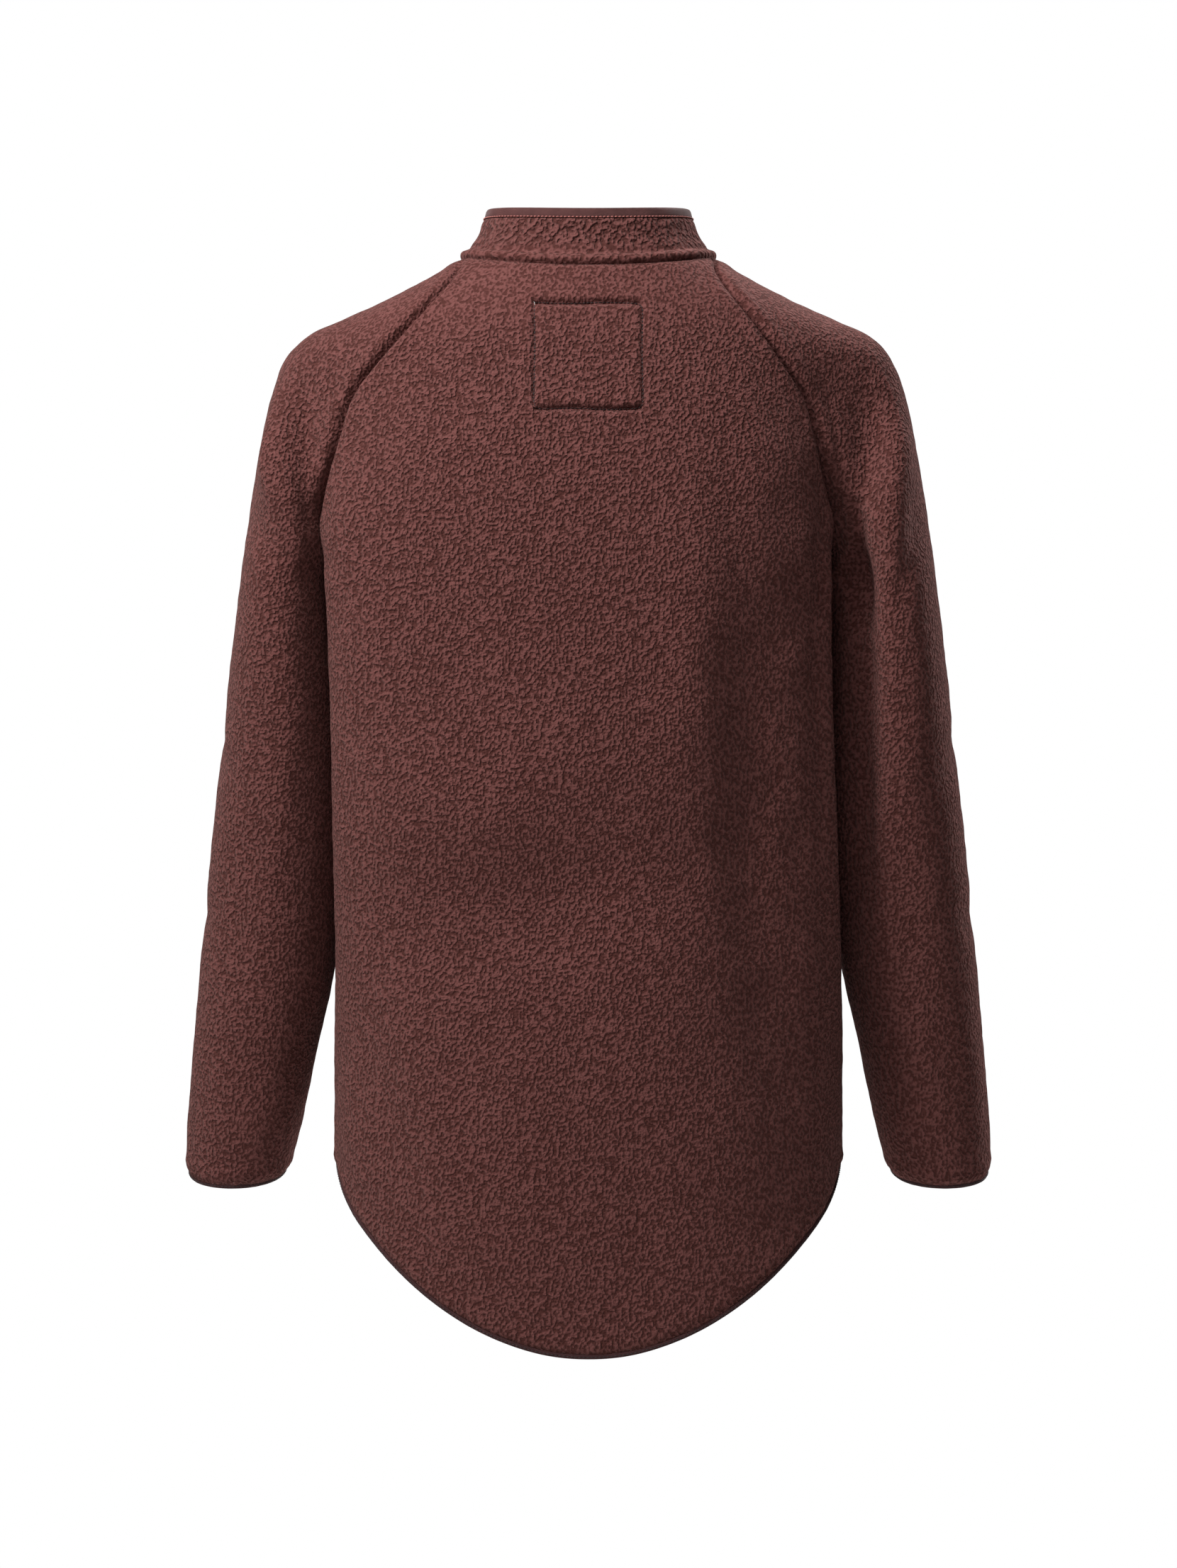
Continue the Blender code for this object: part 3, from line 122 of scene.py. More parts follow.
# Creases. view: the side they are seen from. line: points across and up, as seen there. depth: above 0 a
# trough, below 0 a ridge. width: its half width.
CREASE_COLUMNS = ("view", "line", "depth", "width")
CREASES = [
    ("back", [(172, -425), (60, -395), (-75, -355)], -7.0, 56),
    ("back", [(175, -505), (40, -490), (-90, -450)], 7.0, 40),
    ("back", [(-158, -140), (-162, -290), (-160, -420), (-150, -650)], 12.0, 46),
    ("back", [(-80, -180), (-76, -320), (-86, -450)], -5.0, 26),
    ("back", [(-118, -280), (-122, -390), (-126, -540)], 5.0, 24),
    ("back", [(-118, -470), (-134, -560), (-146, -660)], 4.0, 26),
    ("back", [(-96, -130), (-104, -200), (-116, -260)], 1.6, 16),
    ("back", [(158, -135), (150, -200), (156, -280)], 2.2, 22),
    ("back", [(170, -540), (142, -640), (118, -740)], 3.0, 20),
    ("back", [(150, -560), (120, -650), (100, -720)], -2.0, 20),
    ("back", [(180, -600), (172, -660), (158, -700)], -2.4, 13),
    ("back", [(-70, -680), (-110, -725), (-140, -730)], 2.0, 16),
    ("back", [(-20, -640), (-40, -720), (-30, -790)], 2.0, 24),
    ("back", [(30, -560), (60, -660), (52, -760)], -2.0, 28),
    ("back", [(213, -90), (209, -140), (201, -215)], 6.5, 11),
    ("back", [(243, -130), (238, -160), (235, -190)], -3.2, 6),
    ("back", [(236, -90), (234, -150), (230, -200)], -4.0, 10),
    ("back", [(262, -150), (250, -200), (228, -240)], 3.0, 9),
    ("back", [(228, -190), (236, -280), (244, -360)], 2.2, 14),
    ("back", [(252, -420), (262, -500), (262, -560)], 2.4, 17),
    ("back", [(240, -640), (262, -600), (284, -590)], 1.5, 12),
    ("back", [(218, -330), (226, -400), (232, -470)], -1.8, 11),
    ("back", [(-213, -100), (-207, -150), (-200, -215)], 9.5, 16),
    ("back", [(-184, -135), (-186, -170), (-188, -200)], 3.4, 6),
    ("back", [(-193, -180), (-190, -225), (-192, -290)], 16.0, 12),
    ("back", [(-238, -108), (-228, -180), (-214, -262)], -4.2, 11),
    ("back", [(-258, -150), (-244, -215), (-226, -280)], 3.0, 9),
    ("back", [(-203, -190), (-200, -300), (-203, -510)], 11.0, 14),
    ("back", [(-250, -260), (-246, -340), (-240, -420)], -2.2, 15),
    ("back", [(-226, -420), (-236, -500), (-250, -580)], 3.0, 17),
    ("back", [(-262, -560), (-272, -620), (-284, -660)], 1.6, 12),
    ("front", [(-96, -190), (-104, -320), (-98, -470)], 9.0, 25),
    ("front", [(104, -210), (112, -350), (100, -520)], 8.0, 23),
    ("front", [(60, -430), (110, -470), (150, -470)], 7.0, 19),
    ("front", [(-60, -470), (-110, -500), (-152, -490)], 8.0, 19),
    ("front", [(-150, -560), (-120, -640), (-70, -700)], 7.5, 21),
    ("front", [(150, -560), (124, -640), (80, -700)], 7.0, 21),
    ("front", [(-204, -110), (-196, -160), (-190, -200)], 5.0, 9),
    ("front", [(204, -110), (198, -160), (192, -200)], 5.0, 9),
    ("front", [(-238, -130), (-226, -190), (-212, -260)], -2.8, 10),
    ("front", [(240, -130), (228, -190), (214, -260)], -2.8, 10),
    ("front", [(-226, -400), (-248, -430), (-270, -425)], 4.6, 10),
    ("front", [(226, -392), (250, -420), (272, -412)], 4.6, 10),
    ("front", [(-232, -455), (-252, -480), (-276, -478)], 2.6, 10),
    ("front", [(234, -450), (254, -474), (278, -470)], 2.6, 10),
    ("side", [(-40, -330), (-8, -380), (20, -392)], 2.4, 12),
    ("side", [(-60, -480), (-30, -500), (0, -496)], 2.0, 12),
    ("side", [(-30, -200), (-20, -260), (-34, -330)], 1.8, 12),
]

# The pile is smoother beside the neck seam: heights where that begins, is full, ends, and is over
SMOOTH_NECK = (-85.0, -40.0, -2.0, 5.0)
SMOOTH_NECK_SHARE = 0.45
COLLAR_SHARE = 1.15

# Bindings. height: how wide the band shows. step: how far it lies in from the cloth's face. pucker: its
# unevenness. stitched: how far its stitches lie from the cloth's edge.
BINDING_COLUMNS = ("height", "step", "pucker", "stitched")
BINDINGS = {
    "collar": (7.9, 0.3, 0.12, 0.7),
    "hem": (3.6, 0.3, 0.18, 1.8),
    "cuff": (5.4, 1.4, 0.22, 3.4),
}
BINDING_WALL = 4.2
BINDING_SIDES = 20
BINDING_PITCH = 2.0
BINDING_GAP = 0.25
BINDING_SWELL = (0.05, 9.0)  # how its width varies, as a share, and the size of that
PUCKER_SIZE = 3.2
SECTION_POWER = 0.6  # rounded sections: 1 is an ellipse, less is squarer
BANDS = [
    # panel, edge, style, name, the node it shows
    ("collar", "top", "collar", "collar_binding", "collar_binding"),
    ("back", "bound", "hem", "hem_back", "hem_binding_back"),
    ("front_left", "bound", "hem", "hem_front_left", "hem_binding_front_left"),
    ("front_right", "bound", "hem", "hem_front_right", "hem_binding_front_right"),
    ("sleeve_left", "cuff", "cuff", "cuff_left", "cuff_binding_left"),
    ("sleeve_right", "cuff", "cuff", "cuff_right", "cuff_binding_right"),
]

# Stitches: length, pitch and thickness
STITCH = (2.3, 2.9, 0.32)
COLLAR_STITCH = (2.3, 2.9, 0.48)
SQUARE_STITCH = (2.4, 3.0, 0.32)
THREAD_END_STITCH = (2.6, 2.6, 0.24)
STITCH_BOW = 0.35  # how high the middle of a stitch stands
STITCH_ROOT = 0.1  # how deep its ends lie
STITCH_SIDES = 6
STITCH_STATIONS = 5

# Zip
TOOTH_PITCH = 2.6
TOOTH_HEIGHT = 1.15
TOOTH_DEPTH = 2.9
TOOTH_SIDES = 8
# A tooth's sections: how far towards its own tape from the centre line, and their size
TOOTH_STATIONS = [(2.55, 0.86), (2.3, 1.0), (0.2, 1.0), (-0.75, 0.92), (-0.95, 0.66)]
CORD_OFF = 2.45  # from the centre line to the middle of each cord
CORD_SIZE = (0.75, 0.8)  # its half width and half depth
CORD_BEHIND = 0.5  # how far behind the teeth's middle they run
CORD_SIDES = 8
CHAIN_STEP = 0.8  # sections of the chain's solid lie further apart than this
ZIP_ROUNDING = 0.25
ZIP_SHARP = 35  # degrees between faces that are rounded

# Colours, linear
# Fleece colours: the deep colour is painted shade in the gaps between the nubs, the tip colour a painted
# highlight on their tops, and the base colour is the cloth's own.
FLEECE_CREVICE_SHADE = (0.068, 0.0215, 0.0180)
FLEECE_BASE = (0.120, 0.0415, 0.0370)
FLEECE_TIP_HIGHLIGHT = (0.152, 0.0560, 0.0505)
INNER_BASE = (0.095, 0.034, 0.030)
BINDING_COLOUR = (0.090, 0.034, 0.032)
HEM_COLOUR = (0.062, 0.0245, 0.0250)
CORAL_THREAD = (0.50, 0.150, 0.125)
DARK_THREAD = (0.020, 0.0075, 0.0070)
PALE_THREAD = (0.75, 0.72, 0.68)
TAPE_COLOUR = (0.060, 0.027, 0.026)
TEETH_COLOUR = (0.085, 0.036, 0.033)
METAL_COLOUR = (0.105, 0.060, 0.055)
FLOOR_COLOUR = (0.72, 0.71, 0.70)

# Stage and light, in metres and watts
AMBIENT = 0.07
FLOOR_RADIUS = 2.4
FLOOR_LEVEL = -1.45
LIGHTS = [
    # name, place, target, size, watts
    ("key", (1.58, 1.25, 1.12), (0.05, 0, -0.45), 0.7, 56),
    ("frontal", (0.25, 2.3, 1.1), (0, 0, -0.3), 0.9, 8),
    ("top", (0.45, 0.60, 1.5), (0, 0, -0.2), 1.0, 22),
    ("front_key", (-1.9, -1.5, 1.1), (0, 0, -0.45), 0.9, 75),
    ("front_fill", (1.4, -2.6, 0.6), (0, 0, -0.4), 1.8, 22),
]


# Small geometry helpers

def unit(v):
    """Vectors made one long."""
    return v / np.maximum(np.linalg.norm(v, axis=-1, keepdims=True), 1e-12)


def bell(distance, reach):
    """1 on a line, falling smoothly to 0 away from it."""
    return np.exp(-((distance / reach) ** 2))


def ramp(value, low, high):
    """0 below low, 1 above high, smooth between."""
    t = np.clip((value - low) / (high - low), 0, 1)
    return t * t * (3 - 2 * t)


def wobble(points, size, offset=0.0):
    """Smooth noise from -1 to 1 at points in millimetres, for features of about that size."""
    shift = Vector((offset, offset * 0.7, -offset))
    return np.array([noise.noise(Vector(p) / size + shift) for p in points])


def along(points):
    """The length along a polyline at each of its points."""
    return np.concatenate([[0], np.cumsum(np.linalg.norm(np.diff(points, axis=0), axis=1))])


def resampled(columns, pitch, closed=False):
    """Arrays of points along one line, spaced evenly at about the pitch; the first holds the places."""
    if closed:
        columns = [np.concatenate([c, c[:1]]) for c in columns]
    length = along(columns[0])
    count = max(2, round(length[-1] / pitch))
    at = np.linspace(0, length[-1], count + 1)
    made = [np.stack([np.interp(at, length, c[:, k]) for k in range(3)], axis=1) for c in columns]
    return [c[:-1] if closed else c for c in made]


def tree_of(points, numbers=None):
    """A search tree of points, which answers with their numbers."""
    tree = KDTree(len(points))
    for point, number in zip(points, range(len(points)) if numbers is None else numbers):
        tree.insert(point, int(number))
    tree.balance()
    return tree


def distances(points, places):
    """How far each point lies from the nearest of some places."""
    tree = tree_of(places)
    return np.array([tree.find(p)[2] for p in points])


def near_line(points, line):
    """How far points in a plane lie from a polyline, and how far along it, from 0 to 1."""
    line = np.array(line, float)
    length = along(line)
    best = np.full(len(points), 1e9)
    place = np.zeros(len(points))
    for a, b, start, end in zip(line[:-1], line[1:], length[:-1], length[1:]):
        t = np.clip(((points - a) @ (b - a)) / ((b - a) @ (b - a)), 0, 1)
        off = np.linalg.norm(points - a - t[:, None] * (b - a), axis=1)
        closer = off < best
        best = np.where(closer, off, best)
        place = np.where(closer, start + t * (end - start), place)
    return best, place / length[-1]


def rounded_section(sides):
    """Places across and up, from -1 to 1, round a section between an ellipse and a square."""
    angle = 2 * np.pi * (np.arange(sides) + 0.5) / sides
    return [np.sign(v) * np.abs(v) ** SECTION_POWER for v in (np.cos(angle), np.sin(angle))]


# The solids' outer faces, made fine

def islands(shape):
    """The separate groups of faces in a bmesh, the largest area first."""
    left, found = set(shape.faces), []
    while left:
        stack = [left.pop()]
        group = set(stack)
        while stack:
            for edge in stack.pop().edges:
                for other in edge.link_faces:
                    if other in left:
                        left.discard(other)
                        group.add(other)
                        stack.append(other)
        found.append(group)
    return sorted(found, key=lambda g: -sum(f.calc_area() for f in g))


def outer_face(node):
    """A cloth solid's outer face as quads, in metres, without its rim and its inner face."""
    shape = bmesh.new()
    shape.from_mesh(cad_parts[node].data)
    bmesh.ops.remove_doubles(shape, verts=shape.verts, dist=WELD * MM)
    through = [
        f for f in shape.faces if any(abs(e.calc_length() - WALL * MM) < WALL_SLACK * MM for e in f.edges)]
    bmesh.ops.delete(shape, geom=through, context="FACES")
    inner = [f for group in islands(shape)[1:] for f in group]
    bmesh.ops.delete(shape, geom=inner, context="FACES")
    flat, square = (math.radians(a) for a in QUAD_ANGLES)
    bmesh.ops.join_triangles(
        shape, faces=shape.faces, angle_face_threshold=flat, angle_shape_threshold=square,
        topology_influence=2.0)
    return shape


def corner_places(shape):
    """Where the outline of a sheet has corners."""
    found = []
    for vert in shape.verts:
        if not vert.is_boundary:
            continue
        a, b = (e.other_vert(vert).co - vert.co for e in vert.link_edges if e.is_boundary)
        if len(vert.link_faces) == 1 or math.degrees((-a).angle(b)) > CORNER_ANGLE:
            found.append(vert.co.copy())
    return found


def refine(shape, near):
    """Cuts the edges near a line in two, twice. near takes points in metres and says how near they are."""
    for _ in range(2):
        distance = near(np.array([v.co[:] for v in shape.verts]))
        close = set(np.nonzero(distance < SQUARE_REFINED)[0].tolist())
        shape.verts.index_update()
        edges = [e for e in shape.edges if all(v.index in close for v in e.verts)]
        bmesh.ops.subdivide_edges(shape, edges=edges, cuts=1, use_grid_fill=True)


class Sheet:
    """A cloth solid's outer face, fine, in millimetres: points, normals, faces, and its outline's runs."""

    def __init__(self, node, near=None):
        shape = outer_face(node)
        corners = corner_places(shape)
        mesh = bpy.data.meshes.new("coarse")
        shape.to_mesh(mesh)
        shape.free()
        holder = bpy.data.objects.new("coarse", mesh)
        bpy.context.scene.collection.objects.link(holder)
        smoother = holder.modifiers.new("smooth", "SUBSURF")
        smoother.levels = FINE_LEVELS
        smoother.boundary_smooth = "PRESERVE_CORNERS"
        bpy.context.view_layer.update()
        fine = bpy.data.meshes.new_from_object(holder.evaluated_get(bpy.context.evaluated_depsgraph_get()))
        if near is not None:
            shape = bmesh.new()
            shape.from_mesh(fine)
            refine(shape, near)
            shape.to_mesh(fine)
            shape.free()
        bpy.data.objects.remove(holder)
        self.points = np.array([v.co[:] for v in fine.vertices]) / MM
        self.normals = np.array([n.vector[:] for n in fine.vertex_normals])
        self.faces = [tuple(p.vertices) for p in fine.polygons]
        bpy.data.meshes.remove(fine)
        self.runs = self.outline_runs([np.array(c) / MM for c in corners])

    def outline_runs(self, corners):
        """The outline as lists of point numbers, cut at its corners. A run without corners is closed."""
        inside = {(a, b) for f in self.faces for a, b in zip(f, f[1:] + f[:1])}
        following = {a: b for a, b in inside if (b, a) not in inside}
        self.rim = sorted(following.items())
        left, runs = set(following), []
        outline = np.array(sorted(following))
        places = self.points[outline]
        ends = {int(outline[np.argmin(np.linalg.norm(places - c, axis=1))]) for c in corners}
        for start in sorted(ends):
            run = [start]
            while True:
                left.discard(run[-1])
                run.append(following[run[-1]])
                if run[-1] in ends:
                    break
            runs.append((run, False))
        while left:
            run = [min(left)]
            while following[run[-1]] != run[0]:
                run.append(following[run[-1]])
            left -= set(run)
            runs.append((run, True))
        return runs


def run_kind(node, middle, closed):
    """What an outline run is, from the place of its middle."""
    x, y, z = middle
    at_zip = abs(x) < ZIP_SIDE and y < ZIP_FRONT
    if closed:
        return "cuff"
    if node == "collar":
        if at_zip and COLLAR_FRONT[0] < z < COLLAR_FRONT[1]:
            return "zip"
        return "top" if z > COLLAR_TOP else "welt"
    if node.startswith("sleeve"):
        return "seam"
    if at_zip and z < ZIP_BELOW:
        return "zip"
    if z < HEM_BELOW:
        return "bound"
    return "neck" if z > NECK_ABOVE and abs(x) < NECK_SIDE else "seam"


# Form of the cloth

def seen(view, points, normals):
    """Cloth as a crease's view sees it: places across and up, how squarely it faces, where it counts."""
    if view == "side":
        return points[:, [1, 2]], np.abs(normals[:, 0]), ramp(np.abs(points[:, 0]), *SLEEVE_SIDE)
    return points[:, [0, 2]], normals[:, 1] * (1 if view == "back" else -1), 1.0


def crease_relief(points, normals):
    """How far the creases move the cloth along its normals."""
    moved = np.zeros(len(points))
    share, size = CREASE_UNEVEN
    for k, row in enumerate(CREASES):
        crease = dict(zip(CREASE_COLUMNS, row))
        flat, facing, counts = seen(crease["view"], points, normals)
        off, place = near_line(flat, crease["line"])
        if off.min() > 3 * crease["width"]:
            continue
        uneven = 1 + share * wobble(points, size, k * 3.1)
        fade = np.sin(np.pi * np.clip(place, 0.02, 0.98)) ** 0.7
        form = bell(off, crease["width"]) * ramp(facing, 0.05, 0.6) * counts
        moved -= crease["depth"] * uneven * fade * form
    return moved


def square_bend(x, z):
    """How far the square's line strays inwards at a place measured from its middle."""
    return 0.6 * (0.7 * np.sin(x / 9.0) + 0.5 * np.sin(z / 12.0 + 1))


def square_distance(points):
    """How far outside the stitched square's line points lie, and whether a side is nearer than an end."""
    half = SQUARE_SIZE / 2
    x, z = points[:, 0] - SQUARE_MIDDLE[0], points[:, 2] - SQUARE_MIDDLE[1]
    corner = np.where((x > 0) & (z > 0), SQUARE_SHARP_CORNER, SQUARE_CORNER)
    inner = half - corner - square_bend(x, z)
    a, b = np.abs(x) - inner, np.abs(z) - inner
    outside = np.hypot(np.maximum(a, 0), np.maximum(b, 0))
    return outside + np.minimum(np.maximum(a, b), 0) - corner, a > b


def square_relief(points, normals):
    """The stitched square's grooves, deeper along its top and bottom."""
    off, at_side = square_distance(points)
    near = (normals[:, 1] > 0) & (points[:, 2] > SQUARE_ABOVE)
    pairs = zip(SQUARE_GROOVE["sides"], SQUARE_GROOVE["ends"])
    depth, reach = (np.where(at_side, *pair) for pair in pairs)
    uneven = 1 + 0.35 * wobble(points, 11.0, 5.0)
    height, place, spread = SQUARE_SWELL
    swell = height * bell(np.abs(off) - place, spread)
    return (swell - depth * uneven * bell(off, reach)) * near


def near_square(points):
    """How far points in metres lie from the square's line, in millimetres."""
    points = points / MM
    off = square_distance(points)[0]
    return np.where(points[:, 2] > SQUARE_ABOVE, np.abs(off), FAR)


def neck_distance(sheet, far):
    """How far points lie from the neck seam, which on a sleeve is part of its one long seam."""
    if "neck" in far:
        return far["neck"]
    rim = sheet.points[[a for a, _ in sheet.rim]]
    at_neck = (np.abs(rim[:, 0]) < NECK_SIDE) & (rim[:, 2] > SLEEVE_NECK_ABOVE)
    return distances(sheet.points, rim[at_neck])


def edge_distances(sheet, node):
    """How far a sheet's points lie from each kind of edge that it has."""
    places = {}
    for run, closed in sheet.runs:
        middle = sheet.points[run[len(run) // 2]]
        places.setdefault(run_kind(node, middle, closed), []).append(sheet.points[run])
    far = {}
    for kind, lines in places.items():
        line = np.concatenate(lines)
        between = (line[1:] + line[:-1]) / 2
        one_run = np.linalg.norm(line[1:] - line[:-1], axis=1) < RUN_STEP
        far[kind] = distances(sheet.points, np.concatenate([line, between[one_run]]))
    return far


def edge_relief(sheet, node):
    """How far the cloth rolls in at its edges.

    It also gives the sheet its distance to free edges, how far its pile hangs over, and how deep it sinks.
    """
    moved = np.zeros(len(sheet.points))
    sheet.free = np.full(len(sheet.points), FAR)
    sheet.hang = np.zeros(len(sheet.points))
    sheet.sink = np.zeros(len(sheet.points))
    far = edge_distances(sheet, node)
    share, size = EDGE_UNEVEN
    uneven = 1 + share * wobble(sheet.points, size, 9.0)
    for kind, off in far.items():
        edge = dict(zip(EDGE_COLUMNS, EDGES[kind]))
        change = edge["puff"] * uneven * bell(off - edge["puff_at"], edge["puff_reach"])
        change -= edge["dip"] * bell(off, edge["reach"])
        if kind in HOLLOWS:
            depth, place, reach = HOLLOWS[kind]
            change -= depth * uneven * bell(off - place, reach)
        if kind == "seam":
            start, end, least = SEAM_CALM
            calm = least + (1 - least) * ramp(neck_distance(sheet, far), start, end)
            change *= calm
            sheet.sink = SEAM_SINK[0] * calm * bell(off, SEAM_SINK[1])
        else:
            sheet.free = np.minimum(sheet.free, off)
        moved += change
        sheet.hang += OVERHANG.get(kind, 0.0) * bell(off, OVERHANG_REACH)
    return np.maximum(moved, DEEPEST)


def join(sheet, others, their_normals):
    """Gives a sheet its roll directions, and moves its outline to the middle of each seam's gap."""
    rim = np.array(sorted({i for pair in sheet.rim for i in pair}))
    following = dict(sheet.rim)
    before = {b: a for a, b in sheet.rim}
    way = sheet.normals[rim].copy()
    shift = np.zeros((len(rim), 3))
    outs = np.zeros((len(rim), 3))
    for n, i in enumerate(rim.tolist()):
        line = unit(sheet.points[following[i]] - sheet.points[before[i]])
        outs[n] = np.cross(line, sheet.normals[i])
        place, other, distance = others.find(sheet.points[i])
        if distance > SEAM_REACH:
            continue
        way[n] = unit(sheet.normals[i] + their_normals[other])
        shift[n] = (np.array(place) - sheet.points[i]) / 2 + outs[n] * SEAM_OVERLAP
    tree = tree_of(sheet.points[rim])
    near = [tree.find(p)[1:] for p in sheet.points]
    nearest = np.array([n for n, d in near])
    off = np.array([d for n, d in near])
    sheet.outs = outs[nearest]
    blend = bell(off, SEAM_TURN)[:, None]
    sheet.ways = unit(sheet.normals * (1 - blend) + way[nearest] * blend)
    sheet.points = sheet.points + shift[nearest] * bell(off, SEAM_SHIFT)[:, None]


def join_seams(sheets):
    """Where the sheets meet, gives both cloths one way to roll in, and closes the gap between them."""
    places, normals, owner = [], [], []
    for k, sheet in enumerate(sheets):
        for run, closed in sheet.runs:
            line, normal = resampled([sheet.points[run], sheet.normals[run]], SEAM_PITCH, closed)
            places.append(line)
            normals.append(normal)
            owner.append(np.full(len(line), k))
    places, normals, owner = (np.concatenate(c) for c in (places, normals, owner))
    for k, sheet in enumerate(sheets):
        others = np.nonzero(owner != k)[0]
        join(sheet, tree_of(places[others], others), normals)


def cloth_mesh(name, sheet, outer, inner):
    """A closed cloth mesh from a sheet's outer points, its inner points and a rim."""
    count = len(outer)
    faces = list(sheet.faces)
    faces += [tuple(i + count for i in reversed(f)) for f in sheet.faces]
    faces += [(b, a, a + count, b + count) for a, b in sheet.rim]
    mesh = bpy.data.meshes.new(name)
    mesh.from_pydata((np.concatenate([outer, inner]) * MM).tolist(), [], faces)
    mesh.shade_smooth()
    return mesh


def add_piece(name, mesh, looks, body="jacket", replaces=()):
    """Puts a mesh in the scene with its materials, riding on a body."""
    for look in looks:
        mesh.materials.append(look)
    piece = bpy.data.objects.new(name, mesh)
    bpy.context.scene.collection.objects.link(piece)
    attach(piece, body)
    if replaces:
        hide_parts(*replaces)
    return piece


def cloth_piece(node, sheet):
    """One fleece panel: its sheet, pressed into creases, rolled in at its seams, with an uneven pile."""
    points, normals = sheet.points, sheet.ways
    relief = PILE + edge_relief(sheet, node)
    form = crease_relief(points, normals) * ramp(sheet.free, *CREASE_START)
    base = points + normals * (form - sheet.sink)[:, None]
    if node == "back":
        relief += square_relief(points, normals)
    for k, (size, height) in enumerate(CLUMPS):
        relief += height * wobble(points, size, 20.0 + k)
    sheet.outer = base + normals * relief[:, None] + sheet.outs * sheet.hang[:, None]
    inner = base - normals * BACKING
    mesh = cloth_mesh(node + "_fleece", sheet, sheet.outer, inner)
    pile = FLEECE_COLLAR if node == "collar" else FLEECE
    sheet.piece = add_piece(node + "_fleece", mesh, [pile, FLEECE_INSIDE], replaces=[node])
    inside = np.zeros(len(mesh.polygons), dtype=np.int32)
    inside[len(sheet.faces):2 * len(sheet.faces)] = 1
    mesh.polygons.foreach_set("material_index", inside)


# Materials

class Look:
    """A material and short ways to add nodes to it."""

    def __init__(self, name, roughness, sheen=0.0, metallic=0.0):
        self.material = bpy.data.materials.new(name)
        self.material.use_nodes = True
        self.tree = self.material.node_tree
        self.shader = self.tree.nodes["Principled BSDF"]
        self.shader.inputs["Roughness"].default_value = roughness
        self.shader.inputs["Metallic"].default_value = metallic
        self.shader.inputs["Sheen Weight"].default_value = sheen
        self.shader.inputs["Sheen Roughness"].default_value = 0.55
        self.place = self.tree.nodes.new("ShaderNodeTexCoord").outputs["Object"]

    def node(self, kind, links=(), values=(), **settings):
        """Adds a node; links and values are pairs of an input's name or number and what goes in."""
        made = self.tree.nodes.new("ShaderNode" + kind)
        for key, value in settings.items():
            setattr(made, key, value)
        for key, value in values:
            made.inputs[key].default_value = value
        for key, source in links:
            self.tree.links.new(source, made.inputs[key])
        return made

    def math(self, operation, a, b):
        """One sum over numbers or other nodes' values."""
        made = self.node("Math", operation=operation)
        for k, value in enumerate((a, b)):
            if isinstance(value, (int, float)):
                made.inputs[k].default_value = value
            else:
                self.tree.links.new(value, made.inputs[k])
        return made.outputs[0]

    def share(self, value, part):
        """A part of a value."""
        return self.math("MULTIPLY", value, part)

    def scaled(self, x, y, z):
        """The place with each axis divided by a size in millimetres."""
        made = self.node("VectorMath", [(0, self.place)], operation="MULTIPLY")
        made.inputs[1].default_value = (1 / (x * MM), 1 / (y * MM), 1 / (z * MM))
        return made.outputs[0]

    def noise(self, place, detail=2.0, roughness=0.5, output="Fac"):
        made = self.node(
            "TexNoise", [("Vector", place)], [("Scale", 1.0), ("Detail", detail), ("Roughness", roughness)])
        return made.outputs[output]

    def warped(self, place, amount, size):
        """The place pushed about by noise, in the place's own units."""
        push = self.node("VectorMath", [(0, place)], operation="SCALE")
        push.inputs["Scale"].default_value = 1 / size
        colour = self.noise(push.outputs[0], 1.0, output="Color")
        centred = self.node("VectorMath", [(0, colour)], operation="SUBTRACT")
        centred.inputs[1].default_value = (0.5, 0.5, 0.5)
        scaled = self.node("VectorMath", [(0, centred.outputs[0])], operation="SCALE")
        scaled.inputs["Scale"].default_value = amount
        return self.node("VectorMath", [(0, place), (1, scaled.outputs[0])], operation="ADD").outputs[0]

    def between(self, value, low, high, at_low, at_high):
        """A value moved smoothly from one range to another, and held at its ends."""
        made = self.node(
            "MapRange", [("Value", value)],
            [("From Min", low), ("From Max", high), ("To Min", at_low), ("To Max", at_high)],
            interpolation_type="SMOOTHSTEP")
        return made.outputs["Result"]

    def colours(self, factor, stops):
        """A colour ramp over a factor; stops are places and linear colours."""
        made = self.node("ValToRGB", [("Fac", factor)])
        bar = made.color_ramp
        while len(bar.elements) < len(stops):
            bar.elements.new(0.5)
        for element, (place, colour) in zip(bar.elements, stops):
            element.position = place
            element.color = (*colour, 1.0)
        return made.outputs["Color"]

    def finish(self, colour, height=None, depth=1.0):
        """Puts a colour and a bump height, in millimetres, into the shader."""
        if isinstance(colour, tuple):
            self.shader.inputs["Base Color"].default_value = (*colour, 1.0)
        else:
            self.tree.links.new(colour, self.shader.inputs["Base Color"])
        if height is not None:
            bump = self.node("Bump", [("Height", height)], [("Strength", 1.0), ("Distance", depth * MM)])
            self.tree.links.new(bump.outputs["Normal"], self.shader.inputs["Normal"])
        return self.material


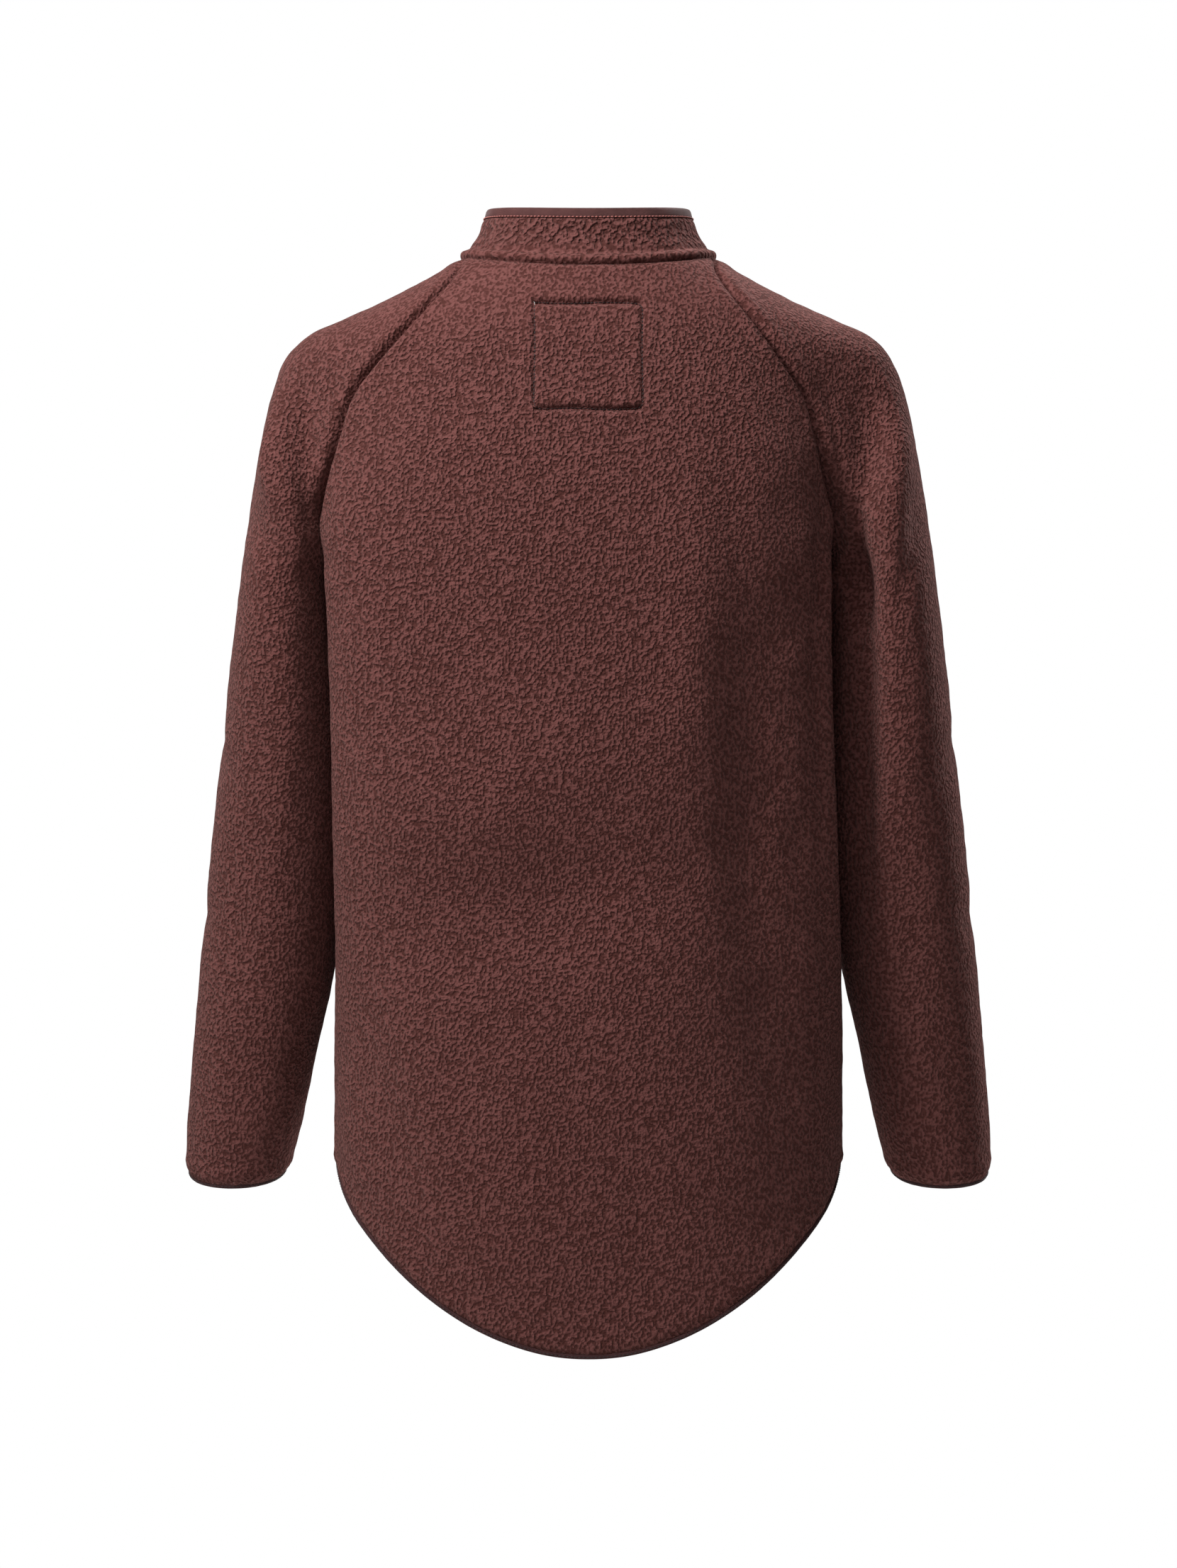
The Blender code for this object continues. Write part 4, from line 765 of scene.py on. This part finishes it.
def fleece_look(name, deep, base, tip_highlight, nub=2.3, depth=2.1):
    """Pile knotted into small nubs, with painted shade in the gaps between them and a painted highlight on
    their tops.
    """
    look = Look(name, 0.95, sheen=0.10)
    look.shader.inputs["Sheen Tint"].default_value = (1.0, 0.60, 0.54, 1.0)
    look.shader.inputs["Specular IOR Level"].default_value = 0.08
    curled = look.warped(look.scaled(nub, nub, nub * 1.2), 0.5, 1.0)
    nubs = look.between(look.noise(curled, 0.0), 0.33, 0.68, 0.0, 1.0)
    finer = look.scaled(nub * 0.8, nub * 0.8, nub * 0.7)
    curls = look.between(look.noise(finer, 0.0), 0.30, 0.70, 0.0, 1.0)
    fibres = look.noise(look.scaled(0.75, 0.75, 0.9), 3.0, 0.65)
    mixed = look.math("ADD", look.share(nubs, 0.68), look.share(curls, 0.20))
    height = look.math("ADD", mixed, look.share(fibres, 0.12))
    patches = look.noise(look.scaled(38, 38, 38), 2.0)
    toned = look.math("ADD", height, look.share(look.math("SUBTRACT", patches, 0.5), 0.08))
    # Painted shade and painted highlight: the colour darkens where the pile sits low between the nubs and
    # lightens on their tops; the patches add random tone.
    colour = look.colours(toned, [(0.16, deep), (0.48, base), (0.86, tip_highlight)])
    up = look.node("SeparateXYZ", [(0, look.place)]).outputs["Z"]
    below = look.between(up, SMOOTH_NECK[0] * MM, SMOOTH_NECK[1] * MM, 1.0, SMOOTH_NECK_SHARE)
    rest = COLLAR_SHARE - SMOOTH_NECK_SHARE
    above = look.between(up, SMOOTH_NECK[2] * MM, SMOOTH_NECK[3] * MM, 0.0, rest)
    calmed = look.math("MULTIPLY", look.math("SUBTRACT", height, 0.6), look.math("ADD", below, above))
    return look.finish(colour, calmed, depth)


def binding_look(name, colour, roughness=0.6):
    """Smooth stretch knit with fine ribs."""
    look = Look(name, roughness, sheen=0.05)
    look.shader.inputs["Specular IOR Level"].default_value = 0.1
    ribs = look.node(
        "TexWave", [("Vector", look.scaled(1, 1, 1))],
        [("Scale", 1.1), ("Distortion", 0.6), ("Detail", 1.0)],
        wave_type="BANDS", bands_direction="DIAGONAL").outputs["Fac"]
    fine = look.noise(look.scaled(0.5, 0.5, 0.5), 2.0)
    height = look.math("ADD", look.share(ribs, 0.5), look.share(fine, 0.5))
    tone = look.math("ADD", look.share(height, 0.5), look.share(look.noise(look.scaled(9, 9, 9)), 0.5))
    dark = tuple(0.68 * c for c in colour)
    light = tuple(1.25 * c for c in colour)
    return look.finish(look.colours(tone, [(0.3, dark), (0.7, light)]), height, 0.25)


def thread_look(name, colour):
    """Twisted sewing thread."""
    look = Look(name, 0.55, sheen=0.1)
    twist = look.noise(look.scaled(0.4, 0.4, 0.4), 1.0)
    dark = tuple(0.6 * c for c in colour)
    return look.finish(look.colours(twist, [(0.35, dark), (0.65, colour)]), twist, 0.15)


def woven_look(name, colour):
    """Zip tape: a tight herringbone-like weave."""
    look = Look(name, 0.8)
    rows = look.node(
        "TexWave", [("Vector", look.warped(look.scaled(1, 1, 1), 0.3, 2.0))], [("Scale", 0.9)],
        wave_type="BANDS", bands_direction="Z").outputs["Fac"]
    cross = look.node(
        "TexWave", [("Vector", look.scaled(1, 1, 1))], [("Scale", 0.7)], wave_type="BANDS",
        bands_direction="X").outputs["Fac"]
    height = look.math("MULTIPLY", rows, cross)
    dark = tuple(0.55 * c for c in colour)
    return look.finish(look.colours(height, [(0.1, dark), (0.8, colour)]), height, 0.3)


def hard_look(name, colour, roughness, metallic):
    """Moulded plastic or painted metal, a little worn."""
    look = Look(name, roughness, metallic=metallic)
    grain = look.noise(look.scaled(0.8, 0.8, 0.8), 3.0)
    worn = look.noise(look.scaled(4, 4, 4), 3.0, 0.6)
    light = tuple(1.4 * c for c in colour)
    return look.finish(look.colours(worn, [(0.35, colour), (0.75, light)]), grain, 0.06)


# The fleece looks paint shade into the gaps between the nubs and a highlight on their tops; inside, the
# highlight is the outside's base colour.
FLEECE = fleece_look("fleece_pile", FLEECE_CREVICE_SHADE, FLEECE_BASE, FLEECE_TIP_HIGHLIGHT)
FLEECE_COLLAR = fleece_look("fleece_collar", FLEECE_CREVICE_SHADE, FLEECE_BASE, FLEECE_TIP_HIGHLIGHT, nub=2.9, depth=2.8)
FLEECE_INSIDE = fleece_look("fleece_inside", FLEECE_CREVICE_SHADE, INNER_BASE, FLEECE_BASE, nub=1.2, depth=0.8)
BINDING = binding_look("collar_binding_knit", BINDING_COLOUR)
DARK_BINDING = binding_look("hem_binding_knit", HEM_COLOUR, 0.75)
CORAL = thread_look("coral_thread", CORAL_THREAD)
DARK = thread_look("dark_thread", DARK_THREAD)
PALE = thread_look("pale_thread", PALE_THREAD)
TAPE = woven_look("zip_tape_weave", TAPE_COLOUR)
TEETH = hard_look("zip_teeth_plastic", TEETH_COLOUR, 0.42, 0.0)
METAL = hard_look("zip_metal_painted", METAL_COLOUR, 0.38, 0.7)


# Bindings and stitches

def outline_line(sheet, kind, node):
    """Points, normals and ways out of the cloth along a sheet's run of a kind, and whether it is closed."""
    for run, closed in sheet.runs:
        if run_kind(node, sheet.points[run[len(run) // 2]], closed) == kind:
            break
    points, normals = sheet.points[run], sheet.normals[run]
    if closed:
        line = unit(np.roll(points, -1, axis=0) - np.roll(points, 1, axis=0))
    else:
        line = unit(np.gradient(points, axis=0))
    normals = unit(normals - (normals * line).sum(axis=1, keepdims=True) * line)
    return points, normals, unit(np.cross(line, normals)), closed


def tube_faces(rings, sides, closed):
    """The faces of a tube through rings of points, which has ends unless it is closed."""
    faces = []
    for i in range(rings if closed else rings - 1):
        k = (i + 1) % rings
        for j in range(sides):
            m = (j + 1) % sides
            faces.append((i * sides + j, i * sides + m, k * sides + m, k * sides + j))
    if not closed:
        faces.append(tuple(range(sides))[::-1])
        faces.append(tuple((rings - 1) * sides + j for j in range(sides)))
    return faces


def closed_mesh(name, places, faces):
    """A smooth mesh from places in millimetres, with all its faces outwards."""
    mesh = bpy.data.meshes.new(name)
    mesh.from_pydata((np.array(places) * MM).tolist(), [], faces)
    shape = bmesh.new()
    shape.from_mesh(mesh)
    bmesh.ops.recalc_face_normals(shape, faces=shape.faces)
    if shape.calc_volume(signed=True) < 0:
        bmesh.ops.reverse_faces(shape, faces=shape.faces)
    shape.to_mesh(mesh)
    shape.free()
    mesh.shade_smooth()
    return mesh


def tubes_mesh(name, places, rings, sides):
    """Many tubes of the same make, from all their places."""
    one = tube_faces(rings, sides, False)
    starts = range(0, len(places), rings * sides)
    return closed_mesh(name, places, [tuple(start + i for i in f) for start in starts for f in one])


def band_piece(name, points, normals, out, closed, band, look, node):
    """A soft band folded round an edge of the cloth."""
    height = band["height"]
    middle = points - normals * (WALL / 2 + band["step"]) + out * (BINDING_GAP + height / 2)
    across, down = rounded_section(BINDING_SIDES)
    across, down = across * BINDING_WALL / 2, down * height / 2
    share, size = BINDING_SWELL
    swell = 1 + share * wobble(middle, size, 31.0)[:, None]
    ripple = band["pucker"] * wobble(middle, PUCKER_SIZE, 32.0)[:, None]
    across = across[None, :] * swell + np.sign(across)[None, :] * ripple
    rings = middle[:, None] + normals[:, None] * across[..., None] + out[:, None] * down[None, :, None]
    faces = tube_faces(len(middle), BINDING_SIDES, closed)
    mesh = closed_mesh(name, rings.reshape(-1, 3), faces)
    return add_piece(name, mesh, [look], replaces=[node])


def stitches(name, line, normals, closed, look, stitch=STITCH):
    """Short threads laid one after another along a line, each bowed a little off it."""
    length, pitch, thickness = stitch
    line, normals = resampled([line, normals], pitch, closed)
    ends = np.roll(line, -1, axis=0) - line
    if not closed:
        line, normals, ends = line[:-1], normals[:-1], ends[:-1]
    places = []
    for start, normal, way in zip(line, unit(normals), unit(ends)):
        side = np.cross(normal, way)
        for t in np.linspace(0, 1, STITCH_STATIONS):
            swell = math.sin(math.pi * t)
            lift = (STITCH_BOW * swell - STITCH_ROOT) * thickness / STITCH[2]
            centre = start + way * length * t + normal * lift
            size = thickness * (0.55 + 0.45 * swell)
            for j in range(STITCH_SIDES):
                a = 2 * math.pi * j / STITCH_SIDES
                places.append(centre + (side * math.cos(a) + normal * math.sin(a)) * size)
    mesh = tubes_mesh(name, places, STITCH_STATIONS, STITCH_SIDES)
    return add_piece(name, mesh, [look])


# The jacket

PANELS = ("back", "front_left", "front_right", "sleeve_left", "sleeve_right", "collar")
SHEETS = {node: Sheet(node, near=near_square if node == "back" else None) for node in PANELS}
join_seams(SHEETS.values())
for panel, panel_sheet in SHEETS.items():
    cloth_piece(panel, panel_sheet)


def bound_edge(panel, edge, style, name, node):
    """The binding on one edge of a panel and its stitching. Gives both pieces."""
    knit, thread, stitch = DARK_BINDING, DARK, STITCH
    if style == "collar":
        knit, thread, stitch = BINDING, CORAL, COLLAR_STITCH
    band = dict(zip(BINDING_COLUMNS, BINDINGS[style]))
    points, normals, out, closed = outline_line(SHEETS[panel], edge, panel)
    points, normals, out = resampled([points, normals, out], BINDING_PITCH, closed)
    normals, out = unit(normals), unit(out)
    piece = band_piece(name + "_band", points, normals, out, closed, band, knit, node)
    off = BINDING_WALL / 2 - WALL / 2 - band["step"]
    line = points + normals * off + out * (BINDING_GAP + band["stitched"])
    return [piece, stitches(name + "_stitches", line, normals, closed, thread, stitch)]


def zip_topstitch(node):
    """A row of stitches beside the zip on one front, lying in its groove."""
    sheet = SHEETS[node]
    tree = tree_of(sheet.outer)
    points, normals, out, closed = outline_line(sheet, "zip", node)
    places = points - out * HOLLOWS["zip"][1]
    line = []
    for place, normal in zip(places, normals):
        near = np.array(tree.find(place)[0])
        line.append(place + normal * ((near - place) @ normal))
    return stitches(node + "_topstitch", np.array(line), normals, closed, DARK)


def square_path():
    """Points along the stitched square's groove, across and up, from its top left corner."""
    half, corner = SQUARE_SIZE / 2, SQUARE_CORNER
    inner = half - corner
    path = [(half, half)]
    for turn, (x, z) in enumerate([(-inner, inner), (-inner, -inner), (inner, -inner)]):
        for k in range(7):
            angle = math.pi / 2 * (1 + turn + k / 6)
            path.append((x + corner * math.cos(angle), z + corner * math.sin(angle)))
    path.append((half, half - SQUARE_END_GAP))
    flat = resampled([np.array([(x, 0, z) for x, z in path])], 1.0)[0]
    x, z = flat[:, 0], flat[:, 2]
    inward = 1 - square_bend(x, z) / half
    return x * inward + SQUARE_MIDDLE[0], z * inward + SQUARE_MIDDLE[1]


def square_stitches():
    """Dark stitches in the square's groove, and one pale thread end at its top left corner."""
    sheet = SHEETS["back"]
    chosen = np.nonzero((sheet.normals[:, 1] > 0.3) & (sheet.points[:, 2] > SQUARE_ABOVE))[0]
    tree = tree_of(sheet.outer[chosen] * (1, 0, 1))
    x, z = square_path()
    found = chosen[[tree.find((a, 0, b))[1] for a, b in zip(x, z)]]
    line = np.stack([x, sheet.outer[found, 1] + STITCH_ROOT, z], axis=1)
    normals = sheet.normals[found]
    dark = stitches("square_stitches", line, normals, False, DARK, SQUARE_STITCH)
    start = line[0] + normals[0] * THREAD_END_OFF
    ends = np.array([start, start + np.array(THREAD_END)])
    return [dark, stitches("square_thread_end", ends, normals[:2], False, PALE, THREAD_END_STITCH)]


def chain_line():
    """The zip chain's middle line and outward normals, bottom to top, from its solid."""
    verts = np.array([v.co[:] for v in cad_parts["zip_chain"].data.vertices]) / MM
    verts = verts[np.argsort(verts[:, 2])]
    groups = np.split(verts, np.nonzero(np.diff(verts[:, 2]) > CHAIN_STEP)[0] + 1)
    middle = np.array([[0, (g[:, 1].min() + g[:, 1].max()) / 2, g[:, 2].mean()] for g in groups])
    return middle, unit(np.cross([1.0, 0, 0], unit(np.gradient(middle, axis=0))))


def zip_teeth(middle, normals):
    """Moulded teeth from both sides, meshed in turn."""
    ups = unit(np.gradient(middle, axis=0))
    thick, high = rounded_section(TOOTH_SIDES)
    places = []
    for k, (centre, normal, up) in enumerate(zip(middle, normals, ups)):
        hand = 1 if k % 2 else -1
        for across, size in TOOTH_STATIONS:
            place = centre + np.array([hand * across, 0, 0])
            for t, h in zip(thick * TOOTH_DEPTH / 2 * size, high * TOOTH_HEIGHT / 2 * size):
                places.append(place + up * h + normal * t)
    mesh = tubes_mesh("zip_teeth", places, len(TOOTH_STATIONS), TOOTH_SIDES)
    add_piece("zip_teeth", mesh, [TEETH], replaces=["zip_chain"])


def zip_cord(name, hand, middle, normals):
    """The cord that one side's teeth sit on."""
    wide, deep = CORD_SIZE
    places = []
    for centre, normal in zip(middle, normals):
        for j in range(CORD_SIDES):
            a = 2 * math.pi * j / CORD_SIDES
            side = np.array([hand * (CORD_OFF + wide * math.cos(a)), 0, 0])
            places.append(centre + side + normal * (deep * math.sin(a) - CORD_BEHIND))
    add_piece(name, tubes_mesh(name, places, len(middle), CORD_SIDES), [TAPE])


def rounded_part(node, body, look):
    """A hard zip part with its edges rounded."""
    shape = bmesh.new()
    shape.from_mesh(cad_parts[node].data)
    bmesh.ops.remove_doubles(shape, verts=shape.verts, dist=WELD * MM)
    least = math.radians(ZIP_SHARP)
    sharp = [e for e in shape.edges if len(e.link_faces) == 2 and e.calc_face_angle() > least]
    bmesh.ops.bevel(
        shape, geom=sharp, offset=ZIP_ROUNDING * MM, offset_type="OFFSET", segments=2, profile=0.5,
        affect="EDGES", clamp_overlap=True)
    mesh = bpy.data.meshes.new(node + "_rounded")
    shape.to_mesh(mesh)
    shape.free()
    mesh.materials.clear()
    mesh.shade_smooth()
    add_piece(node + "_rounded", mesh, [look], body, replaces=[node])


def show_zip():
    """The zip: tapes in their cloth, teeth on cords, and the hard parts."""
    for node in ("zip_tape_left", "zip_tape_right"):
        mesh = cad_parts[node].data
        mesh.materials.clear()
        mesh.materials.append(TAPE)
    middle, normals = resampled(list(chain_line()), TOOTH_PITCH / 2)
    normals = unit(normals)
    zip_teeth(middle, normals)
    for name, hand in (("zip_cord_left", 1), ("zip_cord_right", -1)):
        zip_cord(name, hand, middle[::2], normals[::2])
    rounded_part("zip_box", "jacket", METAL)
    rounded_part("zip_slider", "jacket", METAL)
    rounded_part("zip_pull", "pull_tab", METAL)


TRIMS = {row[0]: bound_edge(*row) for row in BANDS}
TRIMS["back"] += square_stitches()
for panel in ("front_left", "front_right"):
    TRIMS[panel].append(zip_topstitch(panel))
show_zip()


# Stage, light and camera

def studio():
    """A white backdrop for the camera, and a dim one for the light."""
    world = bpy.data.worlds.new("studio")
    bpy.context.scene.world = world
    world.use_nodes = True
    tree = world.node_tree
    dim = tree.nodes["Background"]
    dim.inputs["Color"].default_value = (1, 1, 1, 1)
    dim.inputs["Strength"].default_value = AMBIENT
    white = tree.nodes.new("ShaderNodeBackground")
    white.inputs["Color"].default_value = (1, 1, 1, 1)
    mix = tree.nodes.new("ShaderNodeMixShader")
    path = tree.nodes.new("ShaderNodeLightPath")
    tree.links.new(path.outputs["Is Camera Ray"], mix.inputs[0])
    tree.links.new(dim.outputs[0], mix.inputs[1])
    tree.links.new(white.outputs[0], mix.inputs[2])
    tree.links.new(mix.outputs[0], tree.nodes["World Output"].inputs["Surface"])


def softbox(name, place, target, size, watts):
    """A round area light aimed at a target."""
    lamp = bpy.data.lights.new(name, "AREA")
    lamp.shape = "DISK"
    lamp.size = size
    lamp.energy = watts
    made = bpy.data.objects.new(name, lamp)
    made.location = place
    made.rotation_euler = (Vector(target) - Vector(place)).to_track_quat("-Z", "Y").to_euler()
    bpy.context.scene.collection.objects.link(made)


def pale_floor():
    """A pale floor below the jacket, for the light that it throws back."""
    shape = bmesh.new()
    bmesh.ops.create_circle(shape, cap_ends=True, segments=96, radius=FLOOR_RADIUS)
    mesh = bpy.data.meshes.new("floor")
    shape.to_mesh(mesh)
    shape.free()
    floor = bpy.data.objects.new("floor", mesh)
    floor.location = (0, 0, FLOOR_LEVEL)
    bpy.context.scene.collection.objects.link(floor)
    look = Look("floor_paper", 0.9)
    mesh.materials.append(look.finish(FLOOR_COLOUR))


def camera():
    """The photograph's camera, level and behind the jacket."""
    made = bpy.data.objects.new("camera", bpy.data.cameras.new("camera"))
    bpy.context.scene.collection.objects.link(made)
    made.location = (0, CAMERA_DISTANCE * MM, CAMERA_LEVEL * MM)
    made.rotation_euler = (math.pi / 2, 0, math.pi)
    made.data.sensor_width = SENSOR
    made.data.lens = SENSOR * CAMERA_DISTANCE / (VIEW_WIDTH * IMAGE_ASPECT)
    made.data.clip_end = VIEW_END
    bpy.context.scene.camera = made


bpy.context.scene.view_settings.view_transform = "Standard"
studio()
for light in LIGHTS:
    softbox(*light)
pale_floor()
camera()
